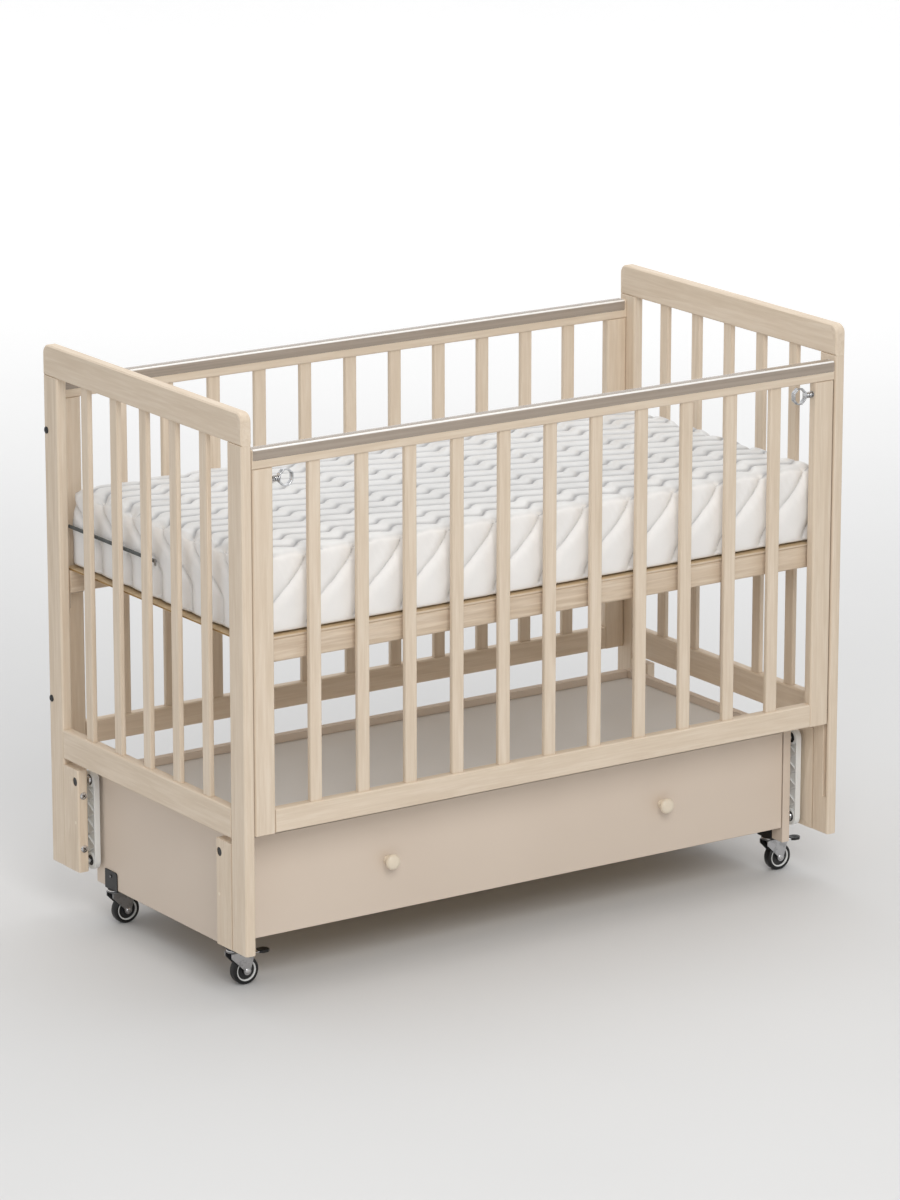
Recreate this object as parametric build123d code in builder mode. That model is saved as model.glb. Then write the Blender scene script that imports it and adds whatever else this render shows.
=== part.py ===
from build123d import *
import math
import os

os.makedirs("parts", exist_ok=True)

# A pendulum crib with a drawer. Sizes are in millimetres and angles in degrees.
# X runs along the crib, -Y is the side that drops and the drawer, +Z is up, and the
# origin lies on the floor under the middle of the crib.

# Mattress
mattress_length = 1200
mattress_width = 600
mattress_height = 148
mattress_end_gap = 3
mattress_side_gap = 3.5
quilt_pitch = 95
quilt_depth = 3
zip_depth = 5
mattress_crown = 4
mattress_edge_radius = 14
mattress_corner_inset = 10

# End panels
panel_thickness = 20
post_width = 46
post_bottom = 95
post_rise = 9
top_rail_height = 55
top_rail_corner = 16
end_rail_bottom = 292
end_rail_height = 53
slat_width = 24
slat_thickness = 10
end_slat_count = 5
housing_depth = 9
rail_ease = 2.5
slat_ease = 1.5

# Leg blocks that carry the lower pivots
leg_block_width = 49
leg_block_gap = 10
plug_radius = 8
plug_inset = 11
plug_hole_depth = 8
plug_recess = 1.5

# Long sides
side_thickness = 20
side_setback = 1.5
side_bottom = 302
side_height = 663
side_top_rail_height = 34
side_bottom_rail_height = 42
stile_width = 40
stile_gap = 2
side_rail_gap = 1
side_slat_count = 11
cover_wall = 1.2
cover_drop = 20
cover_end_gap = 3
rear_cover_gap = 5

# Drop side guides and latches
pin_radius = 4
pin_groove_play = 0.5
pin_groove_depth = 9
pin_tip_gap = 1
drop_travel = 150
groove_end_play = 5
latch_drop = 22
ring_width = 27
ring_height = 30
ring_band = 3.2
ring_depth = 9
ring_corner = 8
spring_length = 16
spring_wire = 1.2
spring_turns = 3
spring_play = 0.6
spring_end_play = 0.5

# Mattress base
base_rail_thickness = 20
base_rail_height = 40
base_rail_gap = 6.5
base_height = 634
base_board_thickness = 4
batten_count = 5
batten_width = 50
batten_height = 20
bracket_leaf = 28
bracket_width = 14
bracket_thickness = 2

# Stand
stand_end_gap = 26
stand_pivot_edge = 9
stand_board = 16
stand_board_height = 210
caster_height = 65
shoe_thickness = 2
stand_rail_height = 40
stand_rail_gap = 2
top_panel_thickness = 4
top_panel_recess = 14
panel_groove = 5
board_ease = 1

# Pendulum links
pivot_inset = 9
upper_pivot_drop = 17.5
lower_pivot_rise = 16.5
link_width = 33
link_thickness = 11
link_gap = 7
link_wall = 3
link_web = 3
link_rib = 2
link_bays = 5
eye_outer = 13
pivot_radius = 4
pivot_play = 0.05
pivot_head_radius = 6.5
pivot_head_height = 4
pivot_spacer_radius = 7.5
face_play = 0.3
pivot_insert_radius = 5.5
pivot_depth = 10

# Drawer
drawer_front_bottom = 95
drawer_top_gap = 2
drawer_front_thickness = 16
drawer_side_gap = 2
drawer_board = 12
drawer_box_bottom = 110
drawer_box_height = 120
drawer_back_gap = 27
drawer_bottom_thickness = 4
drawer_bottom_lift = 8
bottom_groove = 6
guide_height = 15
guide_play = 0.3
guide_groove = 6
guide_bottom = 165
guide_front_gap = 4
guide_back_gap = 20
knob_spacing = 580
knob_z = 188
knob_radius = 14
knob_length = 24
knob_neck_radius = 7
knob_neck_length = 8
knob_rim_start = 14
knob_rim_end = 19
knob_face_radius = 9.5

# Casters
caster_inset = 49.5
wheel_radius = 25
wheel_width = 18
caster_trail = 19
axle_radius = 3
wheel_side_gap = 1
fork_sheet = 2
fork_boss_radius = 7
cheek_front = -13
cheek_back = 33
kingpin_radius = 4
race_radius = 14
race_height = 2.8
crown_top_gap = 0.3
shoe_width = 41
shoe_offset = -1.5
shoe_height = 35
shoe_corner = 6
pedal_pivot_x = 29
pedal_pivot_z = 53
pedal_pin_radius = 1.5
pedal_sleeve_radius = 3.2
pedal_reach = 68
pad_length = 21
pad_width = 20
pad_thickness = 5
pad_corner = 5
lever_width = 13
lever_thickness = 2

# Places worked out from the sizes above
inner_x = mattress_length / 2 + mattress_end_gap
outer_x = inner_x + panel_thickness
panel_mid_x = inner_x + panel_thickness / 2
half_width = mattress_width / 2 + mattress_side_gap + side_thickness + side_setback
post_inner_y = half_width - post_width
post_mid_y = half_width - post_width / 2
end_rail_top = end_rail_bottom + end_rail_height
leg_block_top = end_rail_bottom - leg_block_gap
leg_block_inner_y = post_inner_y - leg_block_width
pivot_y = leg_block_inner_y + pivot_inset
side_outer_y = half_width - side_setback
side_inner_y = side_outer_y - side_thickness
side_mid_y = side_outer_y - side_thickness / 2
side_top = side_bottom + side_height
post_top = side_top + post_rise
stile_outer_x = inner_x - stile_gap
stile_inner_x = stile_outer_x - stile_width
side_rail_under = side_top - side_top_rail_height
side_rail_over = side_bottom + side_bottom_rail_height
latch_height = side_rail_under - latch_drop
base_rail_outer_y = side_inner_y - base_rail_gap
base_rail_inner_y = base_rail_outer_y - base_rail_thickness
base_rail_top = base_height - base_board_thickness
stand_outer_x = inner_x - stand_end_gap
stand_inner_x = stand_outer_x - stand_board
stand_mid_x = stand_outer_x - stand_board / 2
stand_back_y = pivot_y + stand_pivot_edge
stand_front_y = -stand_back_y
stand_depth = 2 * stand_back_y
stand_bottom = caster_height + shoe_thickness
stand_top = stand_bottom + stand_board_height
top_panel_bottom = stand_top - top_panel_recess - top_panel_thickness
upper_pivot_z = stand_top - upper_pivot_drop
lower_pivot_z = post_bottom + lower_pivot_rise
link_length = upper_pivot_z - lower_pivot_z
link_inner_x = stand_outer_x + link_gap
link_outer_x = link_inner_x + link_thickness
drawer_half = stand_inner_x - drawer_side_gap
drawer_front_back_y = stand_front_y + drawer_front_thickness
drawer_front_top = stand_top - drawer_top_gap
caster_axis_y = stand_back_y - caster_inset
pin_tip_x = inner_x + pin_groove_depth - pin_tip_gap
guide_pin_z = side_bottom + side_bottom_rail_height / 2

ends = (-1, 1)
corners = [(sx, sy) for sx in ends for sy in ends]


def turning_plane(origin, along):
    # Local y runs along the turning axis, and local x is the radius.
    radial = Vector(1, 0, 0) if abs(along[2]) > 0 else Vector(0, 0, 1)
    return Plane(origin=origin, x_dir=radial, z_dir=radial.cross(Vector(*along)))


def turn(outline, origin, along):
    # Revolves a closed outline of (radius, height) points into the part in progress.
    with BuildSketch(turning_plane(origin, along)) as profile:
        with BuildLine():
            Polyline(*outline, close=True)
        make_face()
    revolve(profile.sketch, axis=Axis(origin, along))


def spread(count, half_length, width):
    # Centres of equal bars with equal gaps between two faces at plus and minus half_length.
    gap = (2 * half_length - count * width) / (count + 1)
    return [-half_length + gap + width / 2 + i * (gap + width) for i in range(count)]


end_slat_places = spread(end_slat_count, post_inner_y, slat_width)
side_slat_places = spread(side_slat_count, stile_inner_x, slat_width)


# End panels

with BuildPart() as end_posts:
    with BuildSketch(Plane.XY.offset(post_bottom)):
        with Locations(*[(sx * panel_mid_x, sy * post_mid_y) for sx, sy in corners]):
            Rectangle(panel_thickness, post_width)
    extrude(amount=post_top - post_bottom)
    chamfer(end_posts.edges().filter_by(Axis.Z), rail_ease)
    # The front posts are grooved for the guide pins of the drop side.
    groove_low = guide_pin_z - drop_travel - pin_radius - groove_end_play
    groove_high = latch_height + pin_radius + groove_end_play
    with BuildSketch(Plane.XY.offset(groove_low)):
        with Locations(*[(sx * (inner_x + pin_groove_depth / 2), -side_mid_y) for sx in ends]):
            Rectangle(pin_groove_depth, 2 * (pin_radius + pin_groove_play))
    extrude(amount=groove_high - groove_low, mode=Mode.SUBTRACT)
end_posts.part.label = "end_posts"
export_step(end_posts.part, "parts/end_posts.step")


def end_slat_outlines():
    with Locations(*[(sx * panel_mid_x, y) for sx in ends for y in end_slat_places]):
        Rectangle(slat_thickness, slat_width)


def cut_end_mortises(mouth_z, direction):
    with BuildSketch(Plane.XY.offset(mouth_z)) as mouths:
        end_slat_outlines()
    depth = direction * (housing_depth + face_play)
    extrude(mouths.sketch, amount=depth, mode=Mode.SUBTRACT)


with BuildPart() as end_top_rails:
    for sx in ends:
        with BuildSketch(Plane.YZ.offset(sx * panel_mid_x)) as rail_outline:
            with Locations((0, post_top + top_rail_height / 2)):
                Rectangle(2 * half_width, top_rail_height)
            fillet(rail_outline.vertices().group_by(Axis.Y)[-1], top_rail_corner)
        extrude(amount=panel_thickness / 2, both=True)
    outer_loops = end_top_rails.faces().filter_by(Axis.X).edges()
    chamfer(outer_loops, rail_ease)
    cut_end_mortises(post_top, 1)
end_top_rails.part.label = "end_top_rails"
export_step(end_top_rails.part, "parts/end_top_rails.step")

with BuildPart() as end_bottom_rails:
    with BuildSketch(Plane.XZ.offset(-post_inner_y)):
        with Locations(*[(sx * panel_mid_x, end_rail_bottom + end_rail_height / 2) for sx in ends]):
            Rectangle(panel_thickness, end_rail_height)
    extrude(amount=2 * post_inner_y)
    chamfer(end_bottom_rails.edges().filter_by(Axis.Y), rail_ease)
    cut_end_mortises(end_rail_top, -1)
end_bottom_rails.part.label = "end_bottom_rails"
export_step(end_bottom_rails.part, "parts/end_bottom_rails.step")

with BuildPart() as end_slats:
    with BuildSketch(Plane.XY.offset(end_rail_top - housing_depth)):
        end_slat_outlines()
    extrude(amount=post_top - end_rail_top + 2 * housing_depth)
    chamfer(end_slats.edges().filter_by(Axis.Z), slat_ease)
end_slats.part.label = "end_slats"
export_step(end_slats.part, "parts/end_slats.step")

# Leg blocks

leg_block_mid_y = leg_block_inner_y + leg_block_width / 2
plug_y = leg_block_inner_y + plug_inset

with BuildPart() as leg_blocks:
    with BuildSketch(Plane.XY.offset(post_bottom)):
        with Locations(*[(sx * panel_mid_x, sy * leg_block_mid_y) for sx, sy in corners]):
            Rectangle(panel_thickness, leg_block_width)
    extrude(amount=leg_block_top - post_bottom)
    inner_edges = leg_blocks.edges().filter_by(Axis.Z).filter_by(
        lambda edge: abs(edge.center().Y) < leg_block_mid_y
    )
    chamfer(inner_edges, rail_ease)
    for sx in ends:
        with BuildSketch(Plane.YZ.offset(sx * outer_x)):
            with Locations(*[(sy * plug_y, upper_pivot_z) for sy in ends]):
                Circle(plug_radius)
        extrude(amount=-sx * plug_hole_depth, mode=Mode.SUBTRACT)
        with BuildSketch(Plane.YZ.offset(sx * inner_x)):
            with Locations(*[(sy * pivot_y, lower_pivot_z) for sy in ends]):
                RegularPolygon(pivot_insert_radius, 6)
        extrude(amount=sx * pivot_depth, mode=Mode.SUBTRACT)
leg_blocks.part.label = "leg_blocks"
export_step(leg_blocks.part, "parts/leg_blocks.step")

with BuildPart() as leg_hole_plugs:
    for sx in ends:
        with BuildSketch(Plane.YZ.offset(sx * (outer_x - plug_hole_depth))):
            with Locations(*[(sy * plug_y, upper_pivot_z) for sy in ends]):
                Circle(plug_radius)
        extrude(amount=sx * (plug_hole_depth - plug_recess))
leg_hole_plugs.part.label = "leg_hole_plugs"
export_step(leg_hole_plugs.part, "parts/leg_hole_plugs.step")


# Long sides: the rear one fills the space between the posts, the front one slides there

def side_slat_outlines(mid_y):
    with Locations(*[(x, mid_y) for x in side_slat_places]):
        Rectangle(slat_width, slat_thickness)


def cut_side_mortises(mid_y, mouth_z, direction):
    with BuildSketch(Plane.XY.offset(mouth_z)) as mouths:
        side_slat_outlines(mid_y)
    depth = direction * (housing_depth + face_play)
    extrude(mouths.sketch, amount=depth, mode=Mode.SUBTRACT)


def side_rails(mid_y, rail_half):
    with BuildPart() as rails:
        with BuildSketch(Plane.YZ.offset(-rail_half)):
            with Locations((mid_y, side_top - side_top_rail_height / 2)):
                Rectangle(side_thickness, side_top_rail_height)
        extrude(amount=2 * rail_half)
        with BuildSketch(Plane.YZ.offset(-stile_inner_x)):
            with Locations((mid_y, side_bottom + side_bottom_rail_height / 2)):
                Rectangle(side_thickness, side_bottom_rail_height)
        extrude(amount=2 * stile_inner_x)
        chamfer(rails.edges().filter_by(Axis.X), rail_ease)
        cut_side_mortises(mid_y, side_rail_under, 1)
        cut_side_mortises(mid_y, side_rail_over, -1)
    return rails.part


def side_stiles(mid_y, stile_outer):
    with BuildPart() as stiles:
        with BuildSketch(Plane.XY.offset(side_bottom)):
            with Locations(*[(sx * (stile_inner_x + stile_outer) / 2, mid_y) for sx in ends]):
                Rectangle(stile_outer - stile_inner_x, side_thickness)
        extrude(amount=side_rail_under - side_bottom)
        chamfer(stiles.edges().filter_by(Axis.Z), rail_ease)
        # The drop side is bored for the pins of its latches.
        if mid_y < 0:
            with BuildSketch(Plane.YZ.offset(-inner_x)):
                with Locations((mid_y, latch_height)):
                    Circle(pin_radius + pivot_play)
            extrude(amount=2 * inner_x, mode=Mode.SUBTRACT)
    return stiles.part


def side_slats(mid_y):
    with BuildPart() as slats:
        with BuildSketch(Plane.XY.offset(side_rail_over - housing_depth)):
            side_slat_outlines(mid_y)
        extrude(amount=side_rail_under - side_rail_over + 2 * housing_depth)
        chamfer(slats.edges().filter_by(Axis.Z), slat_ease)
    return slats.part


def rail_cover(mid_y, half_length):
    # A clear channel that clips over the top rail and follows its eased edges.
    with BuildPart() as cover:
        with BuildSketch(Plane.YZ.offset(-half_length)) as channel:
            with Locations((mid_y, side_top + cover_wall)):
                Rectangle(
                    side_thickness + 2 * cover_wall, cover_drop + cover_wall, align=(Align.CENTER, Align.MAX)
                )
            chamfer(channel.vertices().group_by(Axis.Z)[-1], rail_ease)
            with BuildSketch(mode=Mode.PRIVATE) as hollow:
                with Locations((mid_y, side_top)):
                    Rectangle(side_thickness, cover_drop, align=(Align.CENTER, Align.MAX))
                chamfer(hollow.vertices().group_by(Axis.Y)[-1], rail_ease)
            add(hollow.sketch_local, mode=Mode.SUBTRACT)
        extrude(amount=2 * half_length)
    return cover.part


def finish_side(side, mid_y, play, stile_play, cover_play):
    pieces = {
        "rails": side_rails(mid_y, inner_x - play),
        "stiles": side_stiles(mid_y, inner_x - stile_play),
        "slats": side_slats(mid_y),
        "cover": rail_cover(mid_y, inner_x - cover_play),
    }
    for piece, solid in pieces.items():
        solid.label = f"{side}_{piece}"
        export_step(solid, f"parts/{side}_{piece}.step")


finish_side("rear", side_mid_y, 0, 0, rear_cover_gap)
finish_side("drop", -side_mid_y, side_rail_gap, stile_gap, cover_end_gap)

with BuildPart() as guide_pins:
    for sx in ends:
        with BuildSketch(Plane.YZ.offset(sx * stile_outer_x)):
            with Locations((-side_mid_y, guide_pin_z)):
                Circle(pin_radius)
        extrude(amount=sx * (pin_tip_x - stile_outer_x))
guide_pins.part.label = "guide_pins"
export_step(guide_pins.part, "parts/guide_pins.step")

# Latches: a finger ring pulls a pin out of the post against a coil

ring_outer_x = stile_inner_x - spring_length
ring_mid_x = ring_outer_x - ring_width / 2


def latch(sx):
    # A flat band bent to a ring with cut corners, on the pin that slides in the post.
    with BuildPart() as pull:
        with BuildSketch(Plane.XZ.offset(side_mid_y)) as band:
            with Locations((sx * ring_mid_x, latch_height)):
                Rectangle(ring_width, ring_height)
            chamfer(band.vertices(), ring_corner)
            offset(amount=-ring_band, mode=Mode.SUBTRACT)
        extrude(amount=ring_depth / 2, both=True)
        with BuildSketch(Plane.YZ.offset(sx * (ring_outer_x - ring_band / 2))):
            with Locations((-side_mid_y, latch_height)):
                Circle(pin_radius)
        extrude(amount=sx * (pin_tip_x - ring_outer_x + ring_band / 2))
    return pull.part


for sx, side in ((-1, "left"), (1, "right")):
    pull = latch(sx)
    pull.label = f"latch_{side}"
    export_step(pull, f"parts/latch_{side}.step")

# Each coil lies round its pin, between the ring and the stile.
coil_radius = pin_radius + spring_play + spring_wire / 2
coil_pitch = (spring_length - spring_wire - spring_end_play) / spring_turns

with BuildPart() as latch_springs:
    for sx in ends:
        start = (sx * (stile_inner_x - spring_wire / 2), -side_mid_y, latch_height)
        coil = Helix(
            pitch=coil_pitch,
            height=coil_pitch * spring_turns,
            radius=coil_radius,
            center=start,
            direction=(-sx, 0, 0),
        )
        with BuildSketch(Plane(origin=coil @ 0, z_dir=coil % 0)) as wire_section:
            Rectangle(spring_wire, spring_wire)
        sweep(wire_section.sketch, path=coil, is_frenet=True)
latch_springs.part.label = "latch_springs"
export_step(latch_springs.part, "parts/latch_springs.step")
print("least gap between the turns of a coil:", round(coil_pitch - spring_wire, 2))

# Mattress base

with BuildPart() as base_rails:
    with BuildSketch(Plane.YZ.offset(-inner_x)):
        for sy in ends:
            with Locations((sy * (base_rail_outer_y - base_rail_thickness / 2),
                            base_rail_top - base_rail_height / 2)):
                Rectangle(base_rail_thickness, base_rail_height)
    extrude(amount=2 * inner_x)
    chamfer(base_rails.edges().filter_by(Axis.X), rail_ease)
base_rails.part.label = "base_rails"
export_step(base_rails.part, "parts/base_rails.step")

with BuildPart() as base_battens:
    with BuildSketch(Plane.XY.offset(base_rail_top)):
        with Locations(*[(x, 0) for x in spread(batten_count, inner_x, batten_width)]):
            Rectangle(batten_width, 2 * base_rail_inner_y)
    extrude(amount=-batten_height)
base_battens.part.label = "base_battens"
export_step(base_battens.part, "parts/base_battens.step")

with BuildPart() as base_board:
    with BuildSketch(Plane.XY.offset(base_rail_top)):
        Rectangle(mattress_length, 2 * base_rail_outer_y)
    extrude(amount=base_board_thickness)
base_board.part.label = "base_board"
export_step(base_board.part, "parts/base_board.step")

# Steel angles under the rail ends carry the base on the posts.
bracket_top = base_rail_top - base_rail_height
bracket_mid_y = (post_inner_y + base_rail_outer_y) / 2

with BuildPart() as base_brackets:
    for sy in ends:
        with BuildSketch(Plane.XZ.offset(-sy * bracket_mid_y)) as angles:
            for sx in ends:
                with Locations((sx * (inner_x - bracket_leaf / 2), bracket_top - bracket_thickness / 2)):
                    Rectangle(bracket_leaf, bracket_thickness)
                with Locations((sx * (inner_x - bracket_thickness / 2), bracket_top - bracket_leaf / 2)):
                    Rectangle(bracket_thickness, bracket_leaf)
        extrude(amount=bracket_width / 2, both=True)
base_brackets.part.label = "base_brackets"
export_step(base_brackets.part, "parts/base_brackets.step")

# Stand on casters

with BuildPart() as stand_sides:
    with BuildSketch(Plane.XY.offset(stand_bottom)):
        with Locations(*[(sx * stand_mid_x, 0) for sx in ends]):
            Rectangle(stand_board, stand_depth)
    extrude(amount=stand_board_height)
    chamfer(stand_sides.edges().filter_by(Axis.Y), board_ease)
    # The top panel slides into grooves, and the upper pivots are screwed in from outside.
    with BuildSketch(Plane.XY.offset(top_panel_bottom)):
        Rectangle(2 * (stand_inner_x + panel_groove), stand_depth - 2 * (stand_board - panel_groove))
    extrude(amount=top_panel_thickness, mode=Mode.SUBTRACT)
    for sx in ends:
        with BuildSketch(Plane.YZ.offset(sx * stand_outer_x)):
            with Locations(*[(sy * pivot_y, upper_pivot_z) for sy in ends]):
                RegularPolygon(pivot_insert_radius, 6)
        extrude(amount=-sx * pivot_depth, mode=Mode.SUBTRACT)
stand_sides.part.label = "stand_sides"
export_step(stand_sides.part, "parts/stand_sides.step")

with BuildPart() as stand_back_board:
    with BuildSketch(Plane.XZ.offset(-stand_back_y)):
        with Locations((0, stand_bottom + stand_board_height / 2)):
            Rectangle(2 * stand_inner_x, stand_board_height)
    extrude(amount=stand_board)
    with BuildSketch(Plane.XY.offset(top_panel_bottom)):
        Rectangle(2 * stand_inner_x, stand_depth - 2 * (stand_board - panel_groove))
    extrude(amount=top_panel_thickness, mode=Mode.SUBTRACT)
stand_back_board.part.label = "stand_back_board"
export_step(stand_back_board.part, "parts/stand_back_board.step")

stand_rail_front_y = drawer_front_back_y + stand_rail_gap
stand_rail_back_y = stand_rail_front_y + stand_board

with BuildPart() as stand_front_rail:
    with BuildSketch(Plane.XZ.offset(-stand_rail_back_y)):
        with Locations((0, stand_top - stand_rail_height / 2)):
            Rectangle(2 * stand_inner_x, stand_rail_height)
    extrude(amount=stand_board)
    with BuildSketch(Plane.XY.offset(top_panel_bottom)):
        with Locations((0, stand_rail_back_y)):
            Rectangle(2 * stand_inner_x, 2 * panel_groove)
    extrude(amount=top_panel_thickness, mode=Mode.SUBTRACT)
stand_front_rail.part.label = "stand_front_rail"
export_step(stand_front_rail.part, "parts/stand_front_rail.step")

panel_front_y = stand_rail_back_y - panel_groove
panel_back_y = stand_back_y - stand_board + panel_groove

with BuildPart() as stand_top_panel:
    with BuildSketch(Plane.XY.offset(top_panel_bottom)):
        with Locations((0, (panel_front_y + panel_back_y) / 2)):
            Rectangle(2 * (stand_inner_x + panel_groove), panel_back_y - panel_front_y)
    extrude(amount=top_panel_thickness)
stand_top_panel.part.label = "stand_top_panel"
export_step(stand_top_panel.part, "parts/stand_top_panel.step")

# Pendulum links and their pivots

link_mid_x = (link_inner_x + link_outer_x) / 2


def zigzag(mid_y):
    # Ends of the ribs that run from wall to wall between the two eyes.
    half_run_y = link_width / 2 - link_wall
    step = (link_length - 2 * eye_outer) / link_bays
    for i in range(link_bays):
        lean = half_run_y if i % 2 else -half_run_y
        low_z = lower_pivot_z + eye_outer + i * step
        yield (mid_y - lean, low_z), (mid_y + lean, low_z + step)


def pendulum_link(sx, sy):
    centre = (sy * pivot_y, (upper_pivot_z + lower_pivot_z) / 2)
    middle = Plane.YZ.offset(sx * link_mid_x)
    with BuildPart() as link:
        with BuildSketch(middle):
            with Locations(centre):
                SlotCenterToCenter(link_length, link_width, rotation=90)
        extrude(amount=link_thickness / 2, both=True)
        # The outer face is pocketed down to a thin web that zigzag ribs stiffen.
        with BuildSketch(Plane.YZ.offset(sx * (link_inner_x + link_web))):
            with Locations(centre):
                Rectangle(link_width - 2 * link_wall, link_length - 2 * eye_outer)
            for low, high in zigzag(sy * pivot_y):
                rise = math.degrees(math.atan2(high[1] - low[1], high[0] - low[0]))
                with Locations(((low[0] + high[0]) / 2, (low[1] + high[1]) / 2)):
                    Rectangle(math.dist(low, high) + link_rib, link_rib, rotation=rise, mode=Mode.SUBTRACT)
        extrude(amount=sx * (link_thickness - link_web), mode=Mode.SUBTRACT)
        with BuildSketch(middle):
            with Locations((sy * pivot_y, upper_pivot_z), (sy * pivot_y, lower_pivot_z)):
                Circle(pivot_radius + pivot_play)
        extrude(amount=link_thickness, both=True, mode=Mode.SUBTRACT)
    return link.part


corner_names = {
    (-1, -1): "front_left",
    (1, -1): "front_right",
    (-1, 1): "rear_left",
    (1, 1): "rear_right",
}

for (sx, sy), corner in corner_names.items():
    link = pendulum_link(sx, sy)
    link.label = f"link_{corner}"
    export_step(link, f"parts/link_{corner}.step")


def pivot_bolt(seat, along, gap):
    # A hexagon insert in the wood, a spacer up to the link, the journal and the bolt's head.
    def section(start, end, outline_shape):
        with BuildSketch(Plane(origin=seat, x_dir=(0, 1, 0), z_dir=along).offset(start)) as outline:
            outline_shape()
        extrude(outline.sketch, amount=end - start)

    spacer_end = gap - face_play
    head_start = gap + link_thickness + face_play
    section(-pivot_depth, 0, lambda: RegularPolygon(pivot_insert_radius, 6))
    section(0, spacer_end, lambda: RegularPolygon(pivot_spacer_radius, 6))
    section(spacer_end, head_start, lambda: Circle(pivot_radius))
    section(head_start, head_start + pivot_head_height, lambda: RegularPolygon(pivot_head_radius, 6))


with BuildPart() as upper_pivot_bolts:
    for sx, sy in corners:
        pivot_bolt((sx * stand_outer_x, sy * pivot_y, upper_pivot_z), (sx, 0, 0), link_gap)
upper_pivot_bolts.part.label = "upper_pivot_bolts"
export_step(upper_pivot_bolts.part, "parts/upper_pivot_bolts.step")

# The lower bolts come from the leg blocks, on the other side of the links.
with BuildPart() as lower_pivot_bolts:
    for sx, sy in corners:
        pivot_bolt((sx * inner_x, sy * pivot_y, lower_pivot_z), (-sx, 0, 0), inner_x - link_outer_x)
lower_pivot_bolts.part.label = "lower_pivot_bolts"
export_step(lower_pivot_bolts.part, "parts/lower_pivot_bolts.step")

# Drawer

box_front_y = drawer_front_back_y
box_back_y = stand_back_y - stand_board - drawer_back_gap
drawer_box_depth = box_back_y - box_front_y
guide_front_y = box_front_y + guide_front_gap
guide_back_y = stand_back_y - stand_board - guide_back_gap
drawer_bottom_z = drawer_box_bottom + drawer_bottom_lift
groove_floor_x = drawer_half - guide_groove

with BuildPart() as drawer_front:
    with BuildSketch(Plane.XZ.offset(-stand_front_y)):
        with Locations((0, (drawer_front_bottom + drawer_front_top) / 2)):
            Rectangle(2 * drawer_half, drawer_front_top - drawer_front_bottom)
    extrude(amount=-drawer_front_thickness)
    chamfer(drawer_front.faces().sort_by(Axis.Y)[0].edges(), board_ease)
    with BuildSketch(Plane.XY.offset(drawer_bottom_z)):
        with Locations((0, box_front_y)):
            Rectangle(2 * (drawer_half - drawer_board + bottom_groove), 2 * bottom_groove)
    extrude(amount=drawer_bottom_thickness, mode=Mode.SUBTRACT)
drawer_front.part.label = "drawer_front"
export_step(drawer_front.part, "parts/drawer_front.step")

with BuildPart() as drawer_sides:
    with BuildSketch(Plane.XY.offset(drawer_box_bottom)):
        with Locations(*[(sx * (drawer_half - drawer_board / 2), (box_front_y + box_back_y) / 2)
                         for sx in ends]):
            Rectangle(drawer_board, drawer_box_depth)
    extrude(amount=drawer_box_height)
    # Grooves take the guides outside and the bottom inside.
    groove_height = guide_height + 2 * guide_play
    with BuildSketch(Plane.YZ.offset(-drawer_half)):
        with Locations(((box_front_y + box_back_y) / 2, guide_bottom + guide_height / 2)):
            Rectangle(drawer_box_depth, groove_height)
    extrude(amount=guide_groove, mode=Mode.SUBTRACT)
    with BuildSketch(Plane.YZ.offset(drawer_half)):
        with Locations(((box_front_y + box_back_y) / 2, guide_bottom + guide_height / 2)):
            Rectangle(drawer_box_depth, groove_height)
    extrude(amount=-guide_groove, mode=Mode.SUBTRACT)
    with BuildSketch(Plane.XY.offset(drawer_bottom_z)):
        with Locations((0, (box_front_y + box_back_y) / 2)):
            Rectangle(2 * (drawer_half - drawer_board + bottom_groove), drawer_box_depth)
    extrude(amount=drawer_bottom_thickness, mode=Mode.SUBTRACT)
drawer_sides.part.label = "drawer_sides"
export_step(drawer_sides.part, "parts/drawer_sides.step")

with BuildPart() as drawer_back:
    with BuildSketch(Plane.XY.offset(drawer_bottom_z + drawer_bottom_thickness)):
        with Locations((0, box_back_y - drawer_board / 2)):
            Rectangle(2 * (drawer_half - drawer_board), drawer_board)
    extrude(amount=drawer_box_bottom + drawer_box_height - drawer_bottom_z - drawer_bottom_thickness)
drawer_back.part.label = "drawer_back"
export_step(drawer_back.part, "parts/drawer_back.step")

with BuildPart() as drawer_bottom:
    with BuildSketch(Plane.XY.offset(drawer_bottom_z)):
        with Locations((0, (box_front_y - bottom_groove + box_back_y) / 2)):
            Rectangle(2 * (drawer_half - drawer_board + bottom_groove), drawer_box_depth + bottom_groove)
    extrude(amount=drawer_bottom_thickness)
drawer_bottom.part.label = "drawer_bottom"
export_step(drawer_bottom.part, "parts/drawer_bottom.step")

with BuildPart() as drawer_guides:
    with BuildSketch(Plane.XY.offset(guide_bottom)):
        for sx in ends:
            with Locations((sx * (groove_floor_x + guide_play + stand_inner_x) / 2,
                            (guide_front_y + guide_back_y) / 2)):
                Rectangle(stand_inner_x - groove_floor_x - guide_play, guide_back_y - guide_front_y)
    extrude(amount=guide_height)
drawer_guides.part.label = "drawer_guides"
export_step(drawer_guides.part, "parts/drawer_guides.step")

with BuildPart() as drawer_knobs:
    for sx in ends:
        knob = [
            (0, 0),
            (knob_neck_radius, 0),
            (knob_neck_radius, knob_neck_length),
            (knob_radius, knob_rim_start),
            (knob_radius, knob_rim_end),
            (knob_face_radius, knob_length),
            (0, knob_length),
        ]
        turn(knob, (sx * knob_spacing / 2, stand_front_y, knob_z), (0, -1, 0))
drawer_knobs.part.label = "drawer_knobs"
export_step(drawer_knobs.part, "parts/drawer_knobs.step")

# Casters: a shoe over the board's edge, a swivelling fork, and a wheel on a riveted axle

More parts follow.
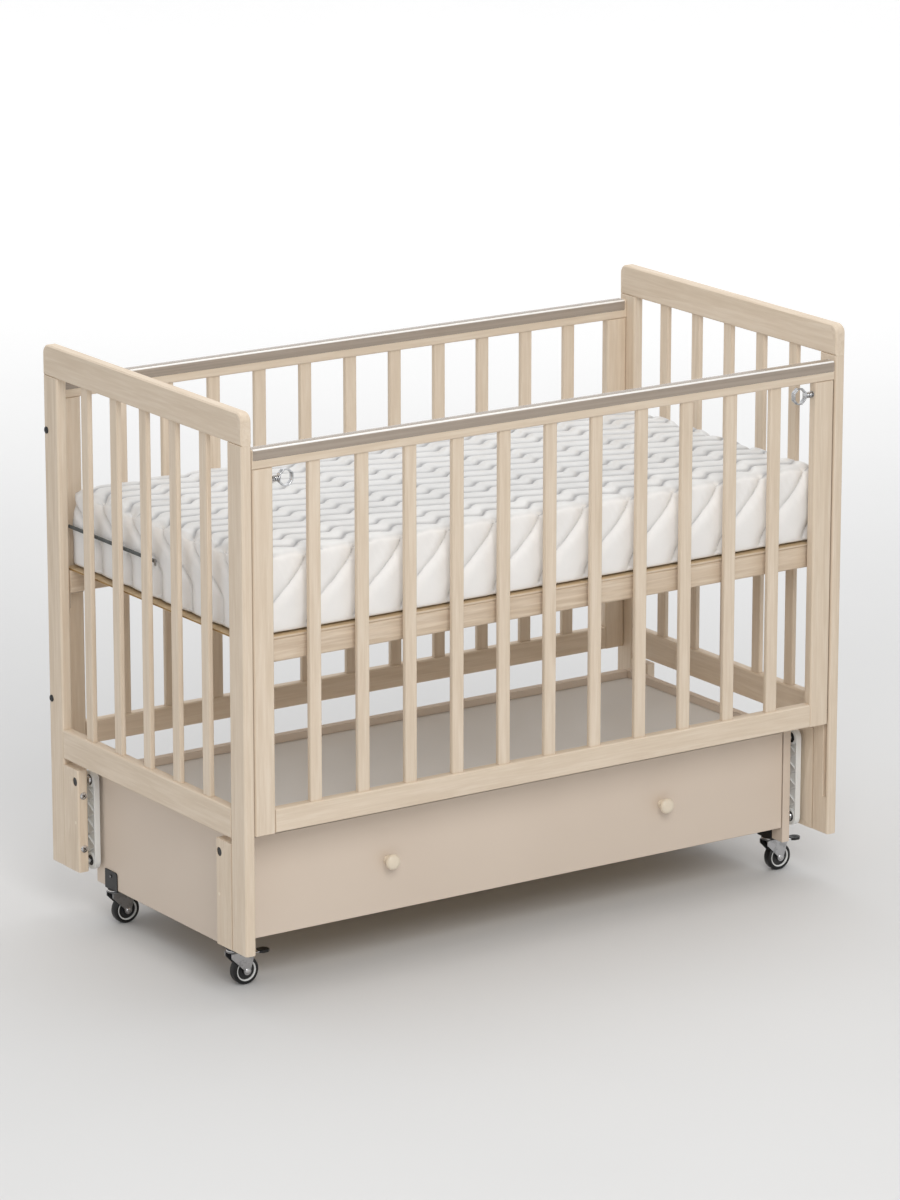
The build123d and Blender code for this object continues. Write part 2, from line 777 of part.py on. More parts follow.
race_bottom = caster_height - race_height
crown_top = race_bottom - crown_top_gap
crown_bottom = crown_top - fork_sheet
fork_inner_y = wheel_width / 2 + wheel_side_gap
fork_outer_y = fork_inner_y + fork_sheet

with BuildPart() as caster_shoes:
    for sx, sy in corners:
        axis = (sx * stand_mid_x, sy * caster_axis_y)
        shoe_y = sy * (caster_axis_y + shoe_offset)
        outer_wide = stand_board + 2 * shoe_thickness
        with BuildSketch(Plane.XY.offset(caster_height)):
            with Locations((axis[0], shoe_y)):
                Rectangle(outer_wide, shoe_width)
        extrude(amount=shoe_height)
        with BuildSketch(Plane.XY.offset(stand_bottom)):
            with Locations((axis[0], shoe_y)):
                Rectangle(stand_board, shoe_width)
        extrude(amount=shoe_height, mode=Mode.SUBTRACT)
        kingpin = [
            (0, 0),
            (race_radius, 0),
            (race_radius, race_height),
            (kingpin_radius, race_height),
            (kingpin_radius, race_height + crown_top_gap + fork_sheet + face_play),
            (0, race_height + crown_top_gap + fork_sheet + face_play),
        ]
        turn(kingpin, (axis[0], axis[1], caster_height), (0, 0, -1))
    upper_corners = caster_shoes.edges().filter_by(Axis.X).group_by(Axis.Z)[-1].filter_by(
        lambda edge: abs(edge.center().Y) < caster_axis_y
    )
    chamfer(upper_corners, shoe_corner)
caster_shoes.part.label = "caster_shoes"
export_step(caster_shoes.part, "parts/caster_shoes.step")


def caster_fork(axis_x, axis_y, braked):
    wheel_x = axis_x + caster_trail
    with BuildPart() as fork:
        with BuildSketch(Plane.XZ.offset(-axis_y)) as cheek:
            with Locations((wheel_x, wheel_radius)):
                RegularPolygon(fork_boss_radius, 12)
            with Locations((axis_x + (cheek_back + cheek_front) / 2, crown_top - fork_sheet / 2)):
                Rectangle(cheek_back - cheek_front, fork_sheet)
            make_hull()
        extrude(amount=fork_outer_y, both=True)
        with BuildSketch(Plane.XZ.offset(-axis_y)):
            with Locations((axis_x, crown_bottom / 2)):
                Rectangle(4 * wheel_radius, crown_bottom)
        extrude(amount=fork_inner_y, both=True, mode=Mode.SUBTRACT)
        with BuildSketch(Plane.XY.offset(crown_bottom)):
            with Locations((axis_x, axis_y)):
                Circle(kingpin_radius + pivot_play)
        extrude(amount=fork_sheet, mode=Mode.SUBTRACT)
        with BuildSketch(Plane.XZ.offset(-axis_y)):
            with Locations((wheel_x, wheel_radius)):
                Circle(axle_radius)
        extrude(amount=fork_inner_y, both=True)
        if braked:
            with BuildSketch(Plane.XZ.offset(-axis_y)):
                with Locations((axis_x + pedal_pivot_x, pedal_pivot_z)):
                    Circle(pedal_pin_radius)
            extrude(amount=fork_inner_y, both=True)
    return fork.part


def caster_wheel(wheel_x, axis_y):
    outline = [
        (axle_radius + pivot_play, -wheel_width / 2),
        (wheel_radius, -wheel_width / 2),
        (wheel_radius, wheel_width / 2),
        (axle_radius + pivot_play, wheel_width / 2),
    ]
    with BuildPart() as wheel:
        turn(outline, (wheel_x, axis_y, wheel_radius), (0, 1, 0))
    return wheel.part


def brake_pedal(axis_x, axis_y):
    pivot_x = axis_x + pedal_pivot_x
    pad_mid_x = axis_x + pedal_reach - pad_length / 2
    with BuildPart() as pedal:
        with BuildSketch(Plane.XZ.offset(-axis_y)):
            with Locations((pivot_x, pedal_pivot_z)):
                RegularPolygon(pedal_sleeve_radius, 8)
        extrude(amount=fork_inner_y - face_play, both=True)
        with BuildSketch(Plane.XY.offset(pedal_pivot_z - lever_thickness / 2)):
            with Locations(((pivot_x + pad_mid_x) / 2, axis_y)):
                Rectangle(pad_mid_x - pivot_x, lever_width)
        extrude(amount=lever_thickness)
        with BuildSketch(Plane.XY.offset(pedal_pivot_z - pad_thickness / 2)) as pad:
            with Locations((pad_mid_x, axis_y)):
                Rectangle(pad_length, pad_width)
            chamfer(pad.vertices(), pad_corner)
        extrude(amount=pad_thickness)
        with BuildSketch(Plane.XZ.offset(-axis_y)):
            with Locations((pivot_x, pedal_pivot_z)):
                Circle(pedal_pin_radius + pivot_play)
        extrude(amount=fork_outer_y, both=True, mode=Mode.SUBTRACT)
    return pedal.part


for (sx, sy), corner in corner_names.items():
    axis_x = sx * stand_mid_x
    axis_y = sy * caster_axis_y
    braked = sy < 0
    pieces = {
        "fork": caster_fork(axis_x, axis_y, braked),
        "wheel": caster_wheel(axis_x + caster_trail, axis_y),
    }
    if braked:
        pieces["brake_pedal"] = brake_pedal(axis_x, axis_y)
    for piece, solid in pieces.items():
        solid.label = f"{piece}_{corner}"
        export_step(solid, f"parts/{piece}_{corner}.step")

# Mattress: a loft along X whose sections swell and draw in with the quilting

mattress_top = base_height + mattress_height
half_waves = round((mattress_length - 2 * mattress_edge_radius) / (quilt_pitch / 2))
wave_step = (mattress_length - 2 * mattress_edge_radius) / half_waves
first_wave_x = mattress_edge_radius - mattress_length / 2
sections = [(-mattress_length / 2, mattress_corner_inset)]
sections += [(first_wave_x + i * wave_step, quilt_depth * (i % 2)) for i in range(half_waves + 1)]
sections += [(mattress_length / 2, mattress_corner_inset)]

with BuildPart() as mattress:
    for x, drawn_in in sections:
        bulge_y = mattress_width / 2 - drawn_in
        seam_y = bulge_y - zip_depth
        edge_y = bulge_y - mattress_edge_radius / 2
        seam_z = base_height + mattress_height / 2
        edge_z = mattress_top - mattress_crown - drawn_in
        with BuildSketch(Plane.YZ.offset(x)):
            with BuildLine():
                Line((-edge_y, base_height), (edge_y, base_height))
                ThreePointArc((edge_y, base_height), (bulge_y, (base_height + seam_z) / 2), (seam_y, seam_z))
                ThreePointArc((seam_y, seam_z), (bulge_y, (seam_z + edge_z) / 2), (edge_y, edge_z))
                ThreePointArc((edge_y, edge_z), (0, edge_z + mattress_crown), (-edge_y, edge_z))
                ThreePointArc((-edge_y, edge_z), (-bulge_y, (seam_z + edge_z) / 2), (-seam_y, seam_z))
                ThreePointArc(
                    (-seam_y, seam_z), (-bulge_y, (base_height + seam_z) / 2), (-edge_y, base_height)
                )
            make_face()
    loft(ruled=True)
mattress.part.label = "mattress"
export_step(mattress.part, "parts/mattress.step")
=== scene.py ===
import math

import bmesh
import bpy
import numpy as np
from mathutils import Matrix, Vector


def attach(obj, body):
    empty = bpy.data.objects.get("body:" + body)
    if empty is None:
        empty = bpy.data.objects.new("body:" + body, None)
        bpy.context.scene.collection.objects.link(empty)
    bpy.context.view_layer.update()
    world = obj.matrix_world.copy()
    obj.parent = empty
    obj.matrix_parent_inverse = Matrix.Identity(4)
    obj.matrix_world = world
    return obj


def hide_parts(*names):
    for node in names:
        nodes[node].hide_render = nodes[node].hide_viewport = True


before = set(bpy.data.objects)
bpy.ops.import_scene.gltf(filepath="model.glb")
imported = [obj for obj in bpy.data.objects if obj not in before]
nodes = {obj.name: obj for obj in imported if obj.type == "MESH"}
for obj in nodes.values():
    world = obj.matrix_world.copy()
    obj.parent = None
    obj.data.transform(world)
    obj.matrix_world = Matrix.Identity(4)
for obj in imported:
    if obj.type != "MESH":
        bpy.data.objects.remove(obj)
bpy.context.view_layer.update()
mm = 0.001
sides = (-1, 1)
corners = {"front_left": (-1, -1), "front_right": (1, -1), "rear_left": (-1, 1), "rear_right": (1, 1)}
print("frame loaded")


class Wire:  # an output socket that takes part in sums
    def __init__(self, board, socket):
        self.board = board
        self.socket = socket

    def maths(self, operation, *values):
        return self.board.node("ShaderNodeMath", {"operation": operation}, dict(enumerate(values)))

    def __add__(self, other):
        return self.maths("ADD", self, other)

    def __sub__(self, other):
        return self.maths("SUBTRACT", self, other)

    def __rsub__(self, other):
        return self.maths("SUBTRACT", other, self)

    def __mul__(self, other):
        return self.maths("MULTIPLY", self, other)

    __radd__ = __add__
    __rmul__ = __mul__

    def fraction(self):
        return self.maths("FRACT", self)

    def size(self):
        return self.maths("ABSOLUTE", self)

    def ramp(self, low, high, lowest=0.0, highest=1.0):
        sockets = {0: self, 1: low, 2: high, 3: lowest, 4: highest}
        return self.board.node("ShaderNodeMapRange", {"interpolation_type": "SMOOTHSTEP"}, sockets)


class Board:  # one material and its nodes
    def __init__(self, name):
        self.material = bpy.data.materials.new(name)
        self.material.use_nodes = True
        self.tree = self.material.node_tree
        self.skin = self.tree.nodes["Principled BSDF"]

    def node(self, kind, settings=None, sockets=None, output=0):
        made = self.tree.nodes.new(kind)
        for key, value in (settings or {}).items():
            setattr(made, key, value)
        for key, value in (sockets or {}).items():
            self.join(made.inputs[key], value)
        return Wire(self, made.outputs[output])

    def join(self, socket, value):
        if isinstance(value, Wire):
            self.tree.links.new(value.socket, socket)
        elif hasattr(value, "__len__") and len(value) == 3 and socket.type == "RGBA":
            socket.default_value = (*value, 1)
        else:
            socket.default_value = value

    def place(self):
        return self.node("ShaderNodeTexCoord", output="Object")

    def island(self):  # one number for each separate board in a mesh
        return self.node("ShaderNodeNewGeometry", output="Random Per Island")

    def axis(self, vector, letter):
        return self.node("ShaderNodeSeparateXYZ", None, {0: vector}, letter)

    def facing(self, letter):  # one part of the way a face looks
        return self.axis(self.node("ShaderNodeNewGeometry", output="Normal"), letter)

    def stretched(self, vector, scale, shift=None):
        turned = self.node("ShaderNodeMapping", None, {"Vector": vector, "Scale": scale})
        if shift is None:
            return turned
        return self.node("ShaderNodeVectorMath", {"operation": "ADD"}, {0: turned, 1: shift})

    def noise(self, vector, scale, detail=2.0, roughness=0.5, distortion=0.0):
        sockets = {"Vector": vector, "Scale": scale, "Detail": detail, "Roughness": roughness,
                   "Distortion": distortion}
        return self.node("ShaderNodeTexNoise", None, sockets)

    def blend(self, factor, low, high, kind="MIX"):
        return self.node("ShaderNodeMix", {"data_type": "RGBA", "blend_type": kind},
                         {0: factor, 6: low, 7: high}, 2)

    def bump(self, height, strength, distance):
        return self.node("ShaderNodeBump", None, {"Strength": strength, "Distance": distance, "Height": height})

    def finish(self, **values):
        for key, value in values.items():
            self.join(self.skin.inputs[key.replace("_", " ")], value)
        return self.material


camera = {"place": (-5.1519, -7.6758, 3.0390), "forward": (0.53855, 0.80146, -0.26005), "lens": 163.03}


def setCamera(look):
    made = bpy.data.objects.new("photoCamera", bpy.data.cameras.new("photoCamera"))
    bpy.context.scene.collection.objects.link(made)
    made.location = look["place"]
    made.rotation_euler = Vector(look["forward"]).to_track_quat("-Z", "Y").to_euler()
    made.data.lens = look["lens"]
    made.data.sensor_width = 36
    made.data.clip_start, made.data.clip_end = 0.1, 60
    bpy.context.scene.camera = made


setCamera(camera)

studio = {
    "world": (0.96, 0.965, 0.97), "worldPower": 0.54,
    "lamps": [
        {"name": "keyLight", "place": (-2.2, -5.2, 4.2), "aim": (0, 0, 0.4), "size": 3.0, "power": 178,
         "colour": (1.0, 0.985, 0.96)},
        {"name": "topLight", "place": (0.5, 0.6, 4.6), "aim": (0, 0, 0), "size": 4.0, "power": 82,
         "colour": (1.0, 1.0, 1.0)},
        {"name": "leftLight", "place": (-5.5, 0.5, 2.4), "aim": (0, 0, 0.4), "size": 2.6, "power": 12,
         "colour": (0.97, 0.98, 1.0)},
    ],
    "floor": (0.70, 0.70, 0.70), "glow": 0.50, "glowFrom": 0.5, "glowTo": 6.0,
}


def buildStudio(look):
    world = bpy.data.worlds.new("softRoom")
    world.use_nodes = True
    back = world.node_tree.nodes["Background"]
    back.inputs["Color"].default_value = (*look["world"], 1)
    back.inputs["Strength"].default_value = look["worldPower"]
    bpy.context.scene.world = world
    for lamp in look["lamps"]:
        light = bpy.data.lights.new(lamp["name"], "AREA")
        light.shape = "SQUARE"
        light.size = lamp["size"]
        light.energy = lamp["power"]
        light.color = lamp["colour"]
        made = bpy.data.objects.new(lamp["name"], light)
        bpy.context.scene.collection.objects.link(made)
        made.location = lamp["place"]
        aim = Vector(lamp["aim"]) - made.location
        made.rotation_euler = aim.to_track_quat("-Z", "Y").to_euler()
    # The floor sweeps up into a backdrop far behind the crib.
    outline = [(-14.0, 0.0), (9.0, 0.0)]
    outline += [(9.0 + 4 * math.sin(a * math.pi / 16), 4 - 4 * math.cos(a * math.pi / 16)) for a in range(1, 9)]
    outline += [(13.0, 16.0)]
    mesh = bpy.data.meshes.new("floor")
    points = [(x, y, z) for y, z in outline for x in (-16, 16)]
    faces = [(2 * i, 2 * i + 1, 2 * i + 3, 2 * i + 2) for i in range(len(outline) - 1)]
    mesh.from_pydata(points, [], faces)
    mesh.polygons.foreach_set("use_smooth", [True] * len(faces))
    floor = bpy.data.objects.new("floor", mesh)
    bpy.context.scene.collection.objects.link(floor)
    floor.rotation_euler = (0, 0, -math.radians(33.9))
    board = Board("paleFloor")
    cloud = board.noise(board.place(), 1.4, 2.0)
    tone = board.blend(cloud.ramp(0.3, 0.7), look["floor"], [c * 0.985 for c in look["floor"]])
    # Paper lit from behind: it turns white with distance.
    far = board.axis(board.place(), "Y").ramp(look["glowFrom"], look["glowTo"])
    glow = board.blend(far, (0, 0, 0), [look["glow"]] * 3)
    mesh.materials.append(board.finish(Base_Color=tone, Roughness=0.85, Emission_Color=glow,
                                       Emission_Strength=1.0))


buildStudio(studio)
bpy.context.scene.view_settings.view_transform = "Standard"
print("camera and studio made")

# The grain runs along one axis of each piece, and every separate board has its own.
woodLook = {
    "light": (0.745, 0.625, 0.490), "dark": (0.560, 0.440, 0.318), "pale": (0.800, 0.695, 0.570),
    "along": 2.0, "across": 34.0, "figure": 0.22, "streaks": 0.24, "roughness": 0.50,
}
railLook = {**woodLook, "light": (0.700, 0.575, 0.440), "dark": (0.490, 0.370, 0.260), "figure": 0.42}


def woodFinish(name, letter, look):
    board = Board(name)
    scale = [look["across"]] * 3
    scale["XYZ".index(letter)] = look["along"]
    own = board.island()
    shift = board.node("ShaderNodeCombineXYZ", None, {0: own * 37.0, 1: own * 91.0, 2: own * 53.0})
    grain = board.stretched(board.place(), scale, shift)
    broad = board.noise(grain, 0.30, 2.0, 0.5, 0.3)
    rings = (board.noise(grain, 0.16, 1.6, 0.45, 0.1) * 30.0).fraction()
    figure = rings.ramp(0.0, 0.35) * (1 - rings.ramp(0.62, 1.0))
    streaks = board.noise(grain, 5.0, 4.0, 0.6, 0.0)
    pores = board.noise(grain, 24.0, 2.0, 0.5, 0.0)
    dark = figure * look["figure"] * broad.ramp(0.35, 0.65, 0.35, 1.0)
    dark = dark + streaks.ramp(0.42, 0.78) * look["streaks"]
    tone = board.blend(dark, look["light"], look["dark"])
    tone = board.blend(streaks.ramp(0.55, 0.25) * 0.6, tone, look["pale"])
    ownTone = board.node("ShaderNodeCombineColor", None,
                         {0: own * 0.05 + 0.965, 1: own * 0.06 + 0.958, 2: own * 0.08 + 0.950})
    tone = board.blend(1.0, tone, ownTone, "MULTIPLY")
    rough = look["roughness"] + pores * 0.12 + figure * 0.05
    height = streaks * 0.5 + pores * 0.5 - figure * 0.2
    return board.finish(Base_Color=tone, Roughness=rough, Normal=board.bump(height, 0.22, 0.0004),
                        Specular_IOR_Level=0.42, Coat_Weight=0.05, Coat_Roughness=0.35)


boardLook = {"light": (0.715, 0.608, 0.508), "dark": (0.670, 0.565, 0.468), "roughness": 0.46}


def boardFinish(name, look):
    # A smooth lacquered board: faint clouding and the fine orange skin of sprayed lacquer.
    board = Board(name)
    place = board.place()
    cloud = board.noise(place, 3.0, 2.0, 0.5)
    fine = board.noise(place, 420.0, 2.0, 0.5)
    skin = board.noise(place, 130.0, 1.0, 0.4)
    tone = board.blend(cloud.ramp(0.3, 0.7) * 0.7 + fine * 0.3, look["light"], look["dark"])
    return board.finish(Base_Color=tone, Roughness=look["roughness"] + cloud * 0.06 + fine * 0.04,
                        Normal=board.bump(skin, 0.06, 0.0004), Coat_Weight=0.08, Coat_Roughness=0.3)


plywoodLook = {"lip": (0.66, 0.545, 0.42), "face": (0.66, 0.50, 0.31), "glue": (0.27, 0.15, 0.055),
               "edge": (0.47, 0.28, 0.085), "plies": 780.0}


def plywoodFinish(look):
    board = Board("plywood")
    place = board.place()
    grain = board.stretched(place, (3.0, 70.0, 3.0))
    streaks = board.noise(grain, 1.0, 4.0, 0.6)
    plies = (board.axis(place, "Z") * look["plies"]).fraction()
    edge = board.blend(plies.ramp(0.3, 0.6), look["edge"], look["glue"])
    upright = board.facing("Z").size().ramp(0.4, 0.6)
    # The long edges are lipped with the same wood as the rails below them.
    lipped = board.facing("Y").size().ramp(0.4, 0.6)
    edge = board.blend(lipped, edge, look["lip"])
    face = board.blend(streaks.ramp(0.3, 0.75), look["face"], [c * 0.8 for c in look["face"]])
    tone = board.blend(upright, edge, face)
    return board.finish(Base_Color=tone, Roughness=0.55 + streaks * 0.1,
                        Normal=board.bump(streaks, 0.2, 0.0003))


panelLook = {"grey": (0.73, 0.715, 0.69), "dark": (0.67, 0.655, 0.635)}


def panelFinish(look):
    board = Board("greyPanel")
    place = board.place()
    cloud = board.noise(place, 2.2, 2.0, 0.5)
    speck = board.noise(place, 900.0, 2.0, 0.6)
    tone = board.blend(cloud.ramp(0.3, 0.7) * 0.6 + speck * 0.4, look["grey"], look["dark"])
    return board.finish(Base_Color=tone, Roughness=0.34 + cloud * 0.08 + speck * 0.05,
                        Normal=board.bump(speck, 0.04, 0.0002))


coverLook = {"tint": (0.50, 0.425, 0.355), "edge": (0.40, 0.34, 0.28), "painted_ridge_highlight": (0.92, 0.90, 0.87),
             "alpha": 0.46, "lipTop": 0.9468, "lipLow": 0.9455}


def coverFinish(look):
    # Clear channel: drawn streaks along it, a darker lip, a hard shine and a painted highlight along its upper
    # edges.
    board = Board("clearCover")
    place = board.place()
    drawn = board.noise(board.stretched(place, (1.5, 260.0, 260.0)), 1.0, 3.0, 0.6)
    lip = board.axis(place, "Z").ramp(look["lipTop"], look["lipLow"])
    tone = board.blend(drawn.ramp(0.35, 0.7) * 0.5, look["tint"], [c * 1.25 for c in look["tint"]])
    tone = board.blend(lip, tone, look["edge"])
    # The rounded upper edges get a painted highlight, lighter and less clear.
    level = board.facing("Z")
    painted_ridge_highlight = level.ramp(0.25, 0.5) * level.ramp(0.97, 0.85)
    tone = board.blend(painted_ridge_highlight, tone, look["painted_ridge_highlight"])
    alpha = drawn * 0.25 + look["alpha"] + lip * 0.3 + painted_ridge_highlight * 0.4
    return board.finish(Base_Color=tone, Roughness=0.10 + drawn * 0.12, Alpha=alpha,
                        Normal=board.bump(drawn, 0.12, 0.0003), Coat_Weight=0.6, Coat_Roughness=0.06,
                        Specular_IOR_Level=0.7)


def mouldedFinish(name, colour, rough, speckle=0.03, bump=0.1):
    # Moulded plastic or rubber: fine texture from the mould, and a slight change of shine.
    board = Board(name)
    place = board.place()
    fine = board.noise(place, 1600.0, 2.0, 0.5)
    wide = board.noise(place, 40.0, 2.0, 0.5)
    tone = board.blend(wide.ramp(0.3, 0.7) * 0.6 + fine * 0.4, colour, [c * (1 - speckle) for c in colour])
    return board.finish(Base_Color=tone, Roughness=rough + wide * 0.08, Normal=board.bump(fine, bump, 0.00015))


def metalFinish(name, colour, rough, brushed=0.05, darkest=0.5):
    # Plated metal, with painted shade where it faces down and painted dark reflections in small clouds.
    board = Board(name)
    place = board.place()
    cloud = board.noise(place, 90.0, 3.0, 0.55)
    painted_shade = board.facing("Z").ramp(0.1, -0.5) * 0.6 + cloud.ramp(0.50, 0.58) * 0.4
    fine = board.noise(board.stretched(place, (60.0, 60.0, 1200.0)), 1.0, 2.0, 0.6)
    tone = board.blend(painted_shade, colour, [c * darkest for c in colour])
    return board.finish(Base_Color=tone, Metallic=1.0, Roughness=rough + cloud * 0.1 + fine * brushed,
                        Normal=board.bump(fine, 0.05, 0.0001))


quiltLook = {"white": (0.90, 0.89, 0.88), "shade": (0.82, 0.81, 0.80), "satin_cloth_and_shade": (0.76, 0.76, 0.755),
             "satinShade": (0.40, 0.40, 0.405), "seamShade": (0.50, 0.485, 0.47), "thread": 2600.0,
             "satinLow": 0.752, "satinTop": 0.768}


def quiltFinish(look):
    # Knitted ticking with a satin face.
    board = Board("quiltedTicking")
    place = board.place()
    knit = board.noise(place, look["thread"], 1.0, 0.5)
    cloud = board.noise(place, 14.0, 3.0, 0.55)
    # The top is a satin cloth with more shine than the side bands, and greyer: partly its own colour, partly
    # painted shade where the top gets less light than the sides.
    satin_cloth_and_shade = board.facing("Z").ramp(0.45, 0.85) * board.axis(place, "Z").ramp(look["satinLow"], look["satinTop"])
    mix = cloud.ramp(0.3, 0.75) * 0.5 + knit * 0.3
    crest = board.node("ShaderNodeAttribute", {"attribute_name": "crest"}, output="Fac")
    # Painted shade in the seam grooves of the side bands.
    seam = crest.ramp(0.45, 0.0)
    side = board.blend(seam * 0.75, board.blend(mix, look["white"], look["shade"]), look["seamShade"])
    # On the top, painted shade in the seams and a painted highlight on the crests.
    top = board.blend(crest.ramp(0.35, 0.95), look["satinShade"], look["satin_cloth_and_shade"])
    top = board.blend(mix * 0.4, top, look["satinShade"])
    return board.finish(Base_Color=board.blend(satin_cloth_and_shade, side, top), Roughness=0.50 + cloud * 0.10 - satin_cloth_and_shade * 0.22,
                        Normal=board.bump(knit, 0.12, 0.0003), Sheen_Weight=0.15, Sheen_Roughness=0.4)


woodX = woodFinish("woodGrainX", "X", woodLook)
woodY = woodFinish("woodGrainY", "Y", woodLook)
woodZ = woodFinish("woodGrainZ", "Z", woodLook)
woodRail = woodFinish("woodBaseRail", "X", railLook)
tanBoard = boardFinish("tanBoard", boardLook)
plywood = plywoodFinish(plywoodLook)
greyPanel = panelFinish(panelLook)
clearCover = coverFinish(coverLook)
whitePlastic = mouldedFinish("whitePlastic", (0.80, 0.81, 0.80), 0.38)
creamPlastic = mouldedFinish("creamPlastic", (0.80, 0.70, 0.56), 0.30)
blackPlastic = mouldedFinish("blackPlastic", (0.008, 0.008, 0.009), 0.30, 0.2)
blackRubber = mouldedFinish("blackRubber", (0.004, 0.004, 0.0045), 0.38, 0.3, 0.2)
hubPlastic = mouldedFinish("hubPlastic", (0.016, 0.016, 0.017), 0.32, 0.2)
paintedSteel = mouldedFinish("paintedSteel", (0.56, 0.46, 0.36), 0.42, 0.2)
zinc = metalFinish("zincPlate", (0.50, 0.50, 0.51), 0.22)
steel = metalFinish("brightSteel", (0.80, 0.80, 0.81), 0.13, 0.04, 0.3)
chrome = metalFinish("chromeBand", (0.80, 0.81, 0.83), 0.07, 0.02, 0.16)
ticking = quiltFinish(quiltLook)
zipTape = mouldedFinish("zipTape", (0.10, 0.11, 0.11), 0.6, 0.3, 0.4)
print("finishes made")

finishes = {
    woodZ: ["end_posts", "end_slats", "leg_blocks", "rear_stiles", "rear_slats", "drop_stiles", "drop_slats"],
    woodY: ["end_top_rails", "end_bottom_rails", "base_battens"],
    woodX: ["rear_rails", "drop_rails"],
    woodRail: ["base_rails"],
    tanBoard: ["stand_sides", "stand_back_board", "stand_front_rail", "drawer_front", "drawer_sides",
               "drawer_back", "drawer_guides"],
    plywood: ["base_board", "drawer_bottom"],
    greyPanel: ["stand_top_panel"],
    clearCover: ["rear_cover", "drop_cover"],
    blackPlastic: ["leg_hole_plugs", "guide_pins"],
    paintedSteel: ["base_brackets"],
}
edgeWidths = {"plywood": 0.0002, "greyPanel": 0.0003, "clearCover": 0.0011, "paintedSteel": 0.0004}


def easeEdges(piece, width):
    weld = piece.modifiers.new("weld", "WELD")
    weld.merge_threshold = 0.00001
    bevel = piece.modifiers.new("eased", "BEVEL")
    bevel.width = width
    bevel.segments = 2
    bevel.limit_method = "ANGLE"
    bevel.angle_limit = math.radians(25)
    bevel.use_clamp_overlap = True
    normal = piece.modifiers.new("faces", "WEIGHTED_NORMAL")
    normal.keep_sharp = False


for material, names in finishes.items():
    for name in names:
        piece = nodes[name]
        piece.data.materials.clear()
        piece.data.materials.append(material)
        easeEdges(piece, edgeWidths.get(material.name, 0.0011))
print("solids finished")


class Shape:  # gathers solids in one mesh
    def __init__(self):
        self.points = []
        self.faces = []
        self.looks = []
        self.look = 0

    def add(self, points, faces):
        start = len(self.points)
        self.points += [tuple(p) for p in points]
        self.faces += [tuple(start + i for i in face) for face in faces]
        self.looks += [self.look] * len(faces)

    def lathe(self, profile, origin, along, steps=40, ring=False):
        # profile holds (radius, height) pairs; a ring's profile closes on itself.
        turn = Vector(along).to_track_quat("Z", "Y").to_matrix()
        points, faces, rows = [], [], []
        for radius, height in profile:
            if radius < 1e-7:
                rows.append([len(points)] * steps)
                points.append(Vector(origin) + turn @ Vector((0, 0, height)))
                continue
            rows.append(range(len(points), len(points) + steps))
            for i in range(steps):
                a = 2 * math.pi * i / steps
                spot = Vector((radius * math.cos(a), radius * math.sin(a), height))
                points.append(Vector(origin) + turn @ spot)
        pairs = list(zip(rows, rows[1:] + rows[:1] if ring else rows[1:]))
        for low, high in pairs:
            for i in range(steps):
                k = (i + 1) % steps
                face = [low[i], low[k], high[k], high[i]]
                faces.append([p for n, p in enumerate(face) if p not in face[:n]])
        if not ring:
            for row, reverse in ((rows[0], True), (rows[-1], False)):
                if row[0] != row[1]:
                    faces.append(list(reversed(row)) if reverse else list(row))
        self.add(points, faces)

    def prism(self, outline, origin, u, v, depth, hole=None):
        # A flat outline in (u, v) pushed through by depth along u cross v.
        u, v = Vector(u), Vector(v)
        w = u.cross(v) * depth
        low = [Vector(origin) + u * a + v * b for a, b in outline]
        n = len(outline)
        faces = [(i, (i + 1) % n, n + (i + 1) % n, n + i) for i in range(n)]
        points = low + [p + w for p in low]
        if hole is None:
            self.add(points, faces + [tuple(reversed(range(n))), tuple(range(n, 2 * n))])
            return
        inner = [Vector(origin) + u * a + v * b for a, b in hole]
        m = 2 * n
        points += inner + [p + w for p in inner]
        for i in range(n):
            k = (i + 1) % n
            faces += [(m + k, m + i, m + n + i, m + n + k), (k, i, m + i, m + k),
                      (n + i, n + k, m + n + k, m + n + i)]
        self.add(points, faces)

    def box(self, low, high):
        outline = [(low[0], low[1]), (high[0], low[1]), (high[0], high[1]), (low[0], high[1])]
        self.prism(outline, (0, 0, low[2]), (1, 0, 0), (0, 1, 0), high[2] - low[2])

    def tube(self, path, radius, steps):
        path = [Vector(p) for p in path]
        n = len(path)
        side = None
        points, faces = [], []
        for i, p in enumerate(path):
            ahead = path[i + 1] if i < n - 1 else p
            behind = path[i - 1] if i > 0 else p
            way = (ahead - behind).normalized()
            if side is None:
                side = way.orthogonal().normalized()
            side = (side - way * side.dot(way)).normalized()
            up = way.cross(side)
            for k in range(steps):
                a = 2 * math.pi * k / steps
                points.append(p + side * radius * math.cos(a) + up * radius * math.sin(a))
        for i in range(0, (n - 1) * steps, steps):
            for k in range(steps):
                q = (k + 1) % steps
                faces.append((i + k, i + q, i + steps + q, i + steps + k))
        faces += [tuple(reversed(range(steps))), tuple(range((n - 1) * steps, n * steps))]
        self.add(points, faces)

    def piece(self, name, materials, body, slot, stands=(), bevel=0.0, smooth=35):
        mesh = bpy.data.meshes.new(name)
        mesh.from_pydata(self.points, [], self.faces)
        for material in materials:
            mesh.materials.append(material)
        mesh.polygons.foreach_set("material_index", self.looks)
        tidy = bmesh.new()
        tidy.from_mesh(mesh)
        bmesh.ops.remove_doubles(tidy, verts=tidy.verts, dist=1e-7)
        bmesh.ops.recalc_face_normals(tidy, faces=tidy.faces)
        tidy.to_mesh(mesh)
        tidy.free()
        mesh.polygons.foreach_set("use_smooth", [True] * len(mesh.polygons))
        mesh.set_sharp_from_angle(angle=math.radians(smooth))
        made = bpy.data.objects.new(name, mesh)
        bpy.context.scene.collection.objects.link(made)
        if bevel:
            cut = made.modifiers.new("eased", "BEVEL")
            cut.width, cut.segments = bevel, 2
            cut.limit_method, cut.angle_limit = "ANGLE", math.radians(30)
            normal = made.modifiers.new("faces", "WEIGHTED_NORMAL")
            normal.keep_sharp = False
        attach(made, body)
        if stands:
            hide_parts(*stands)
        return made


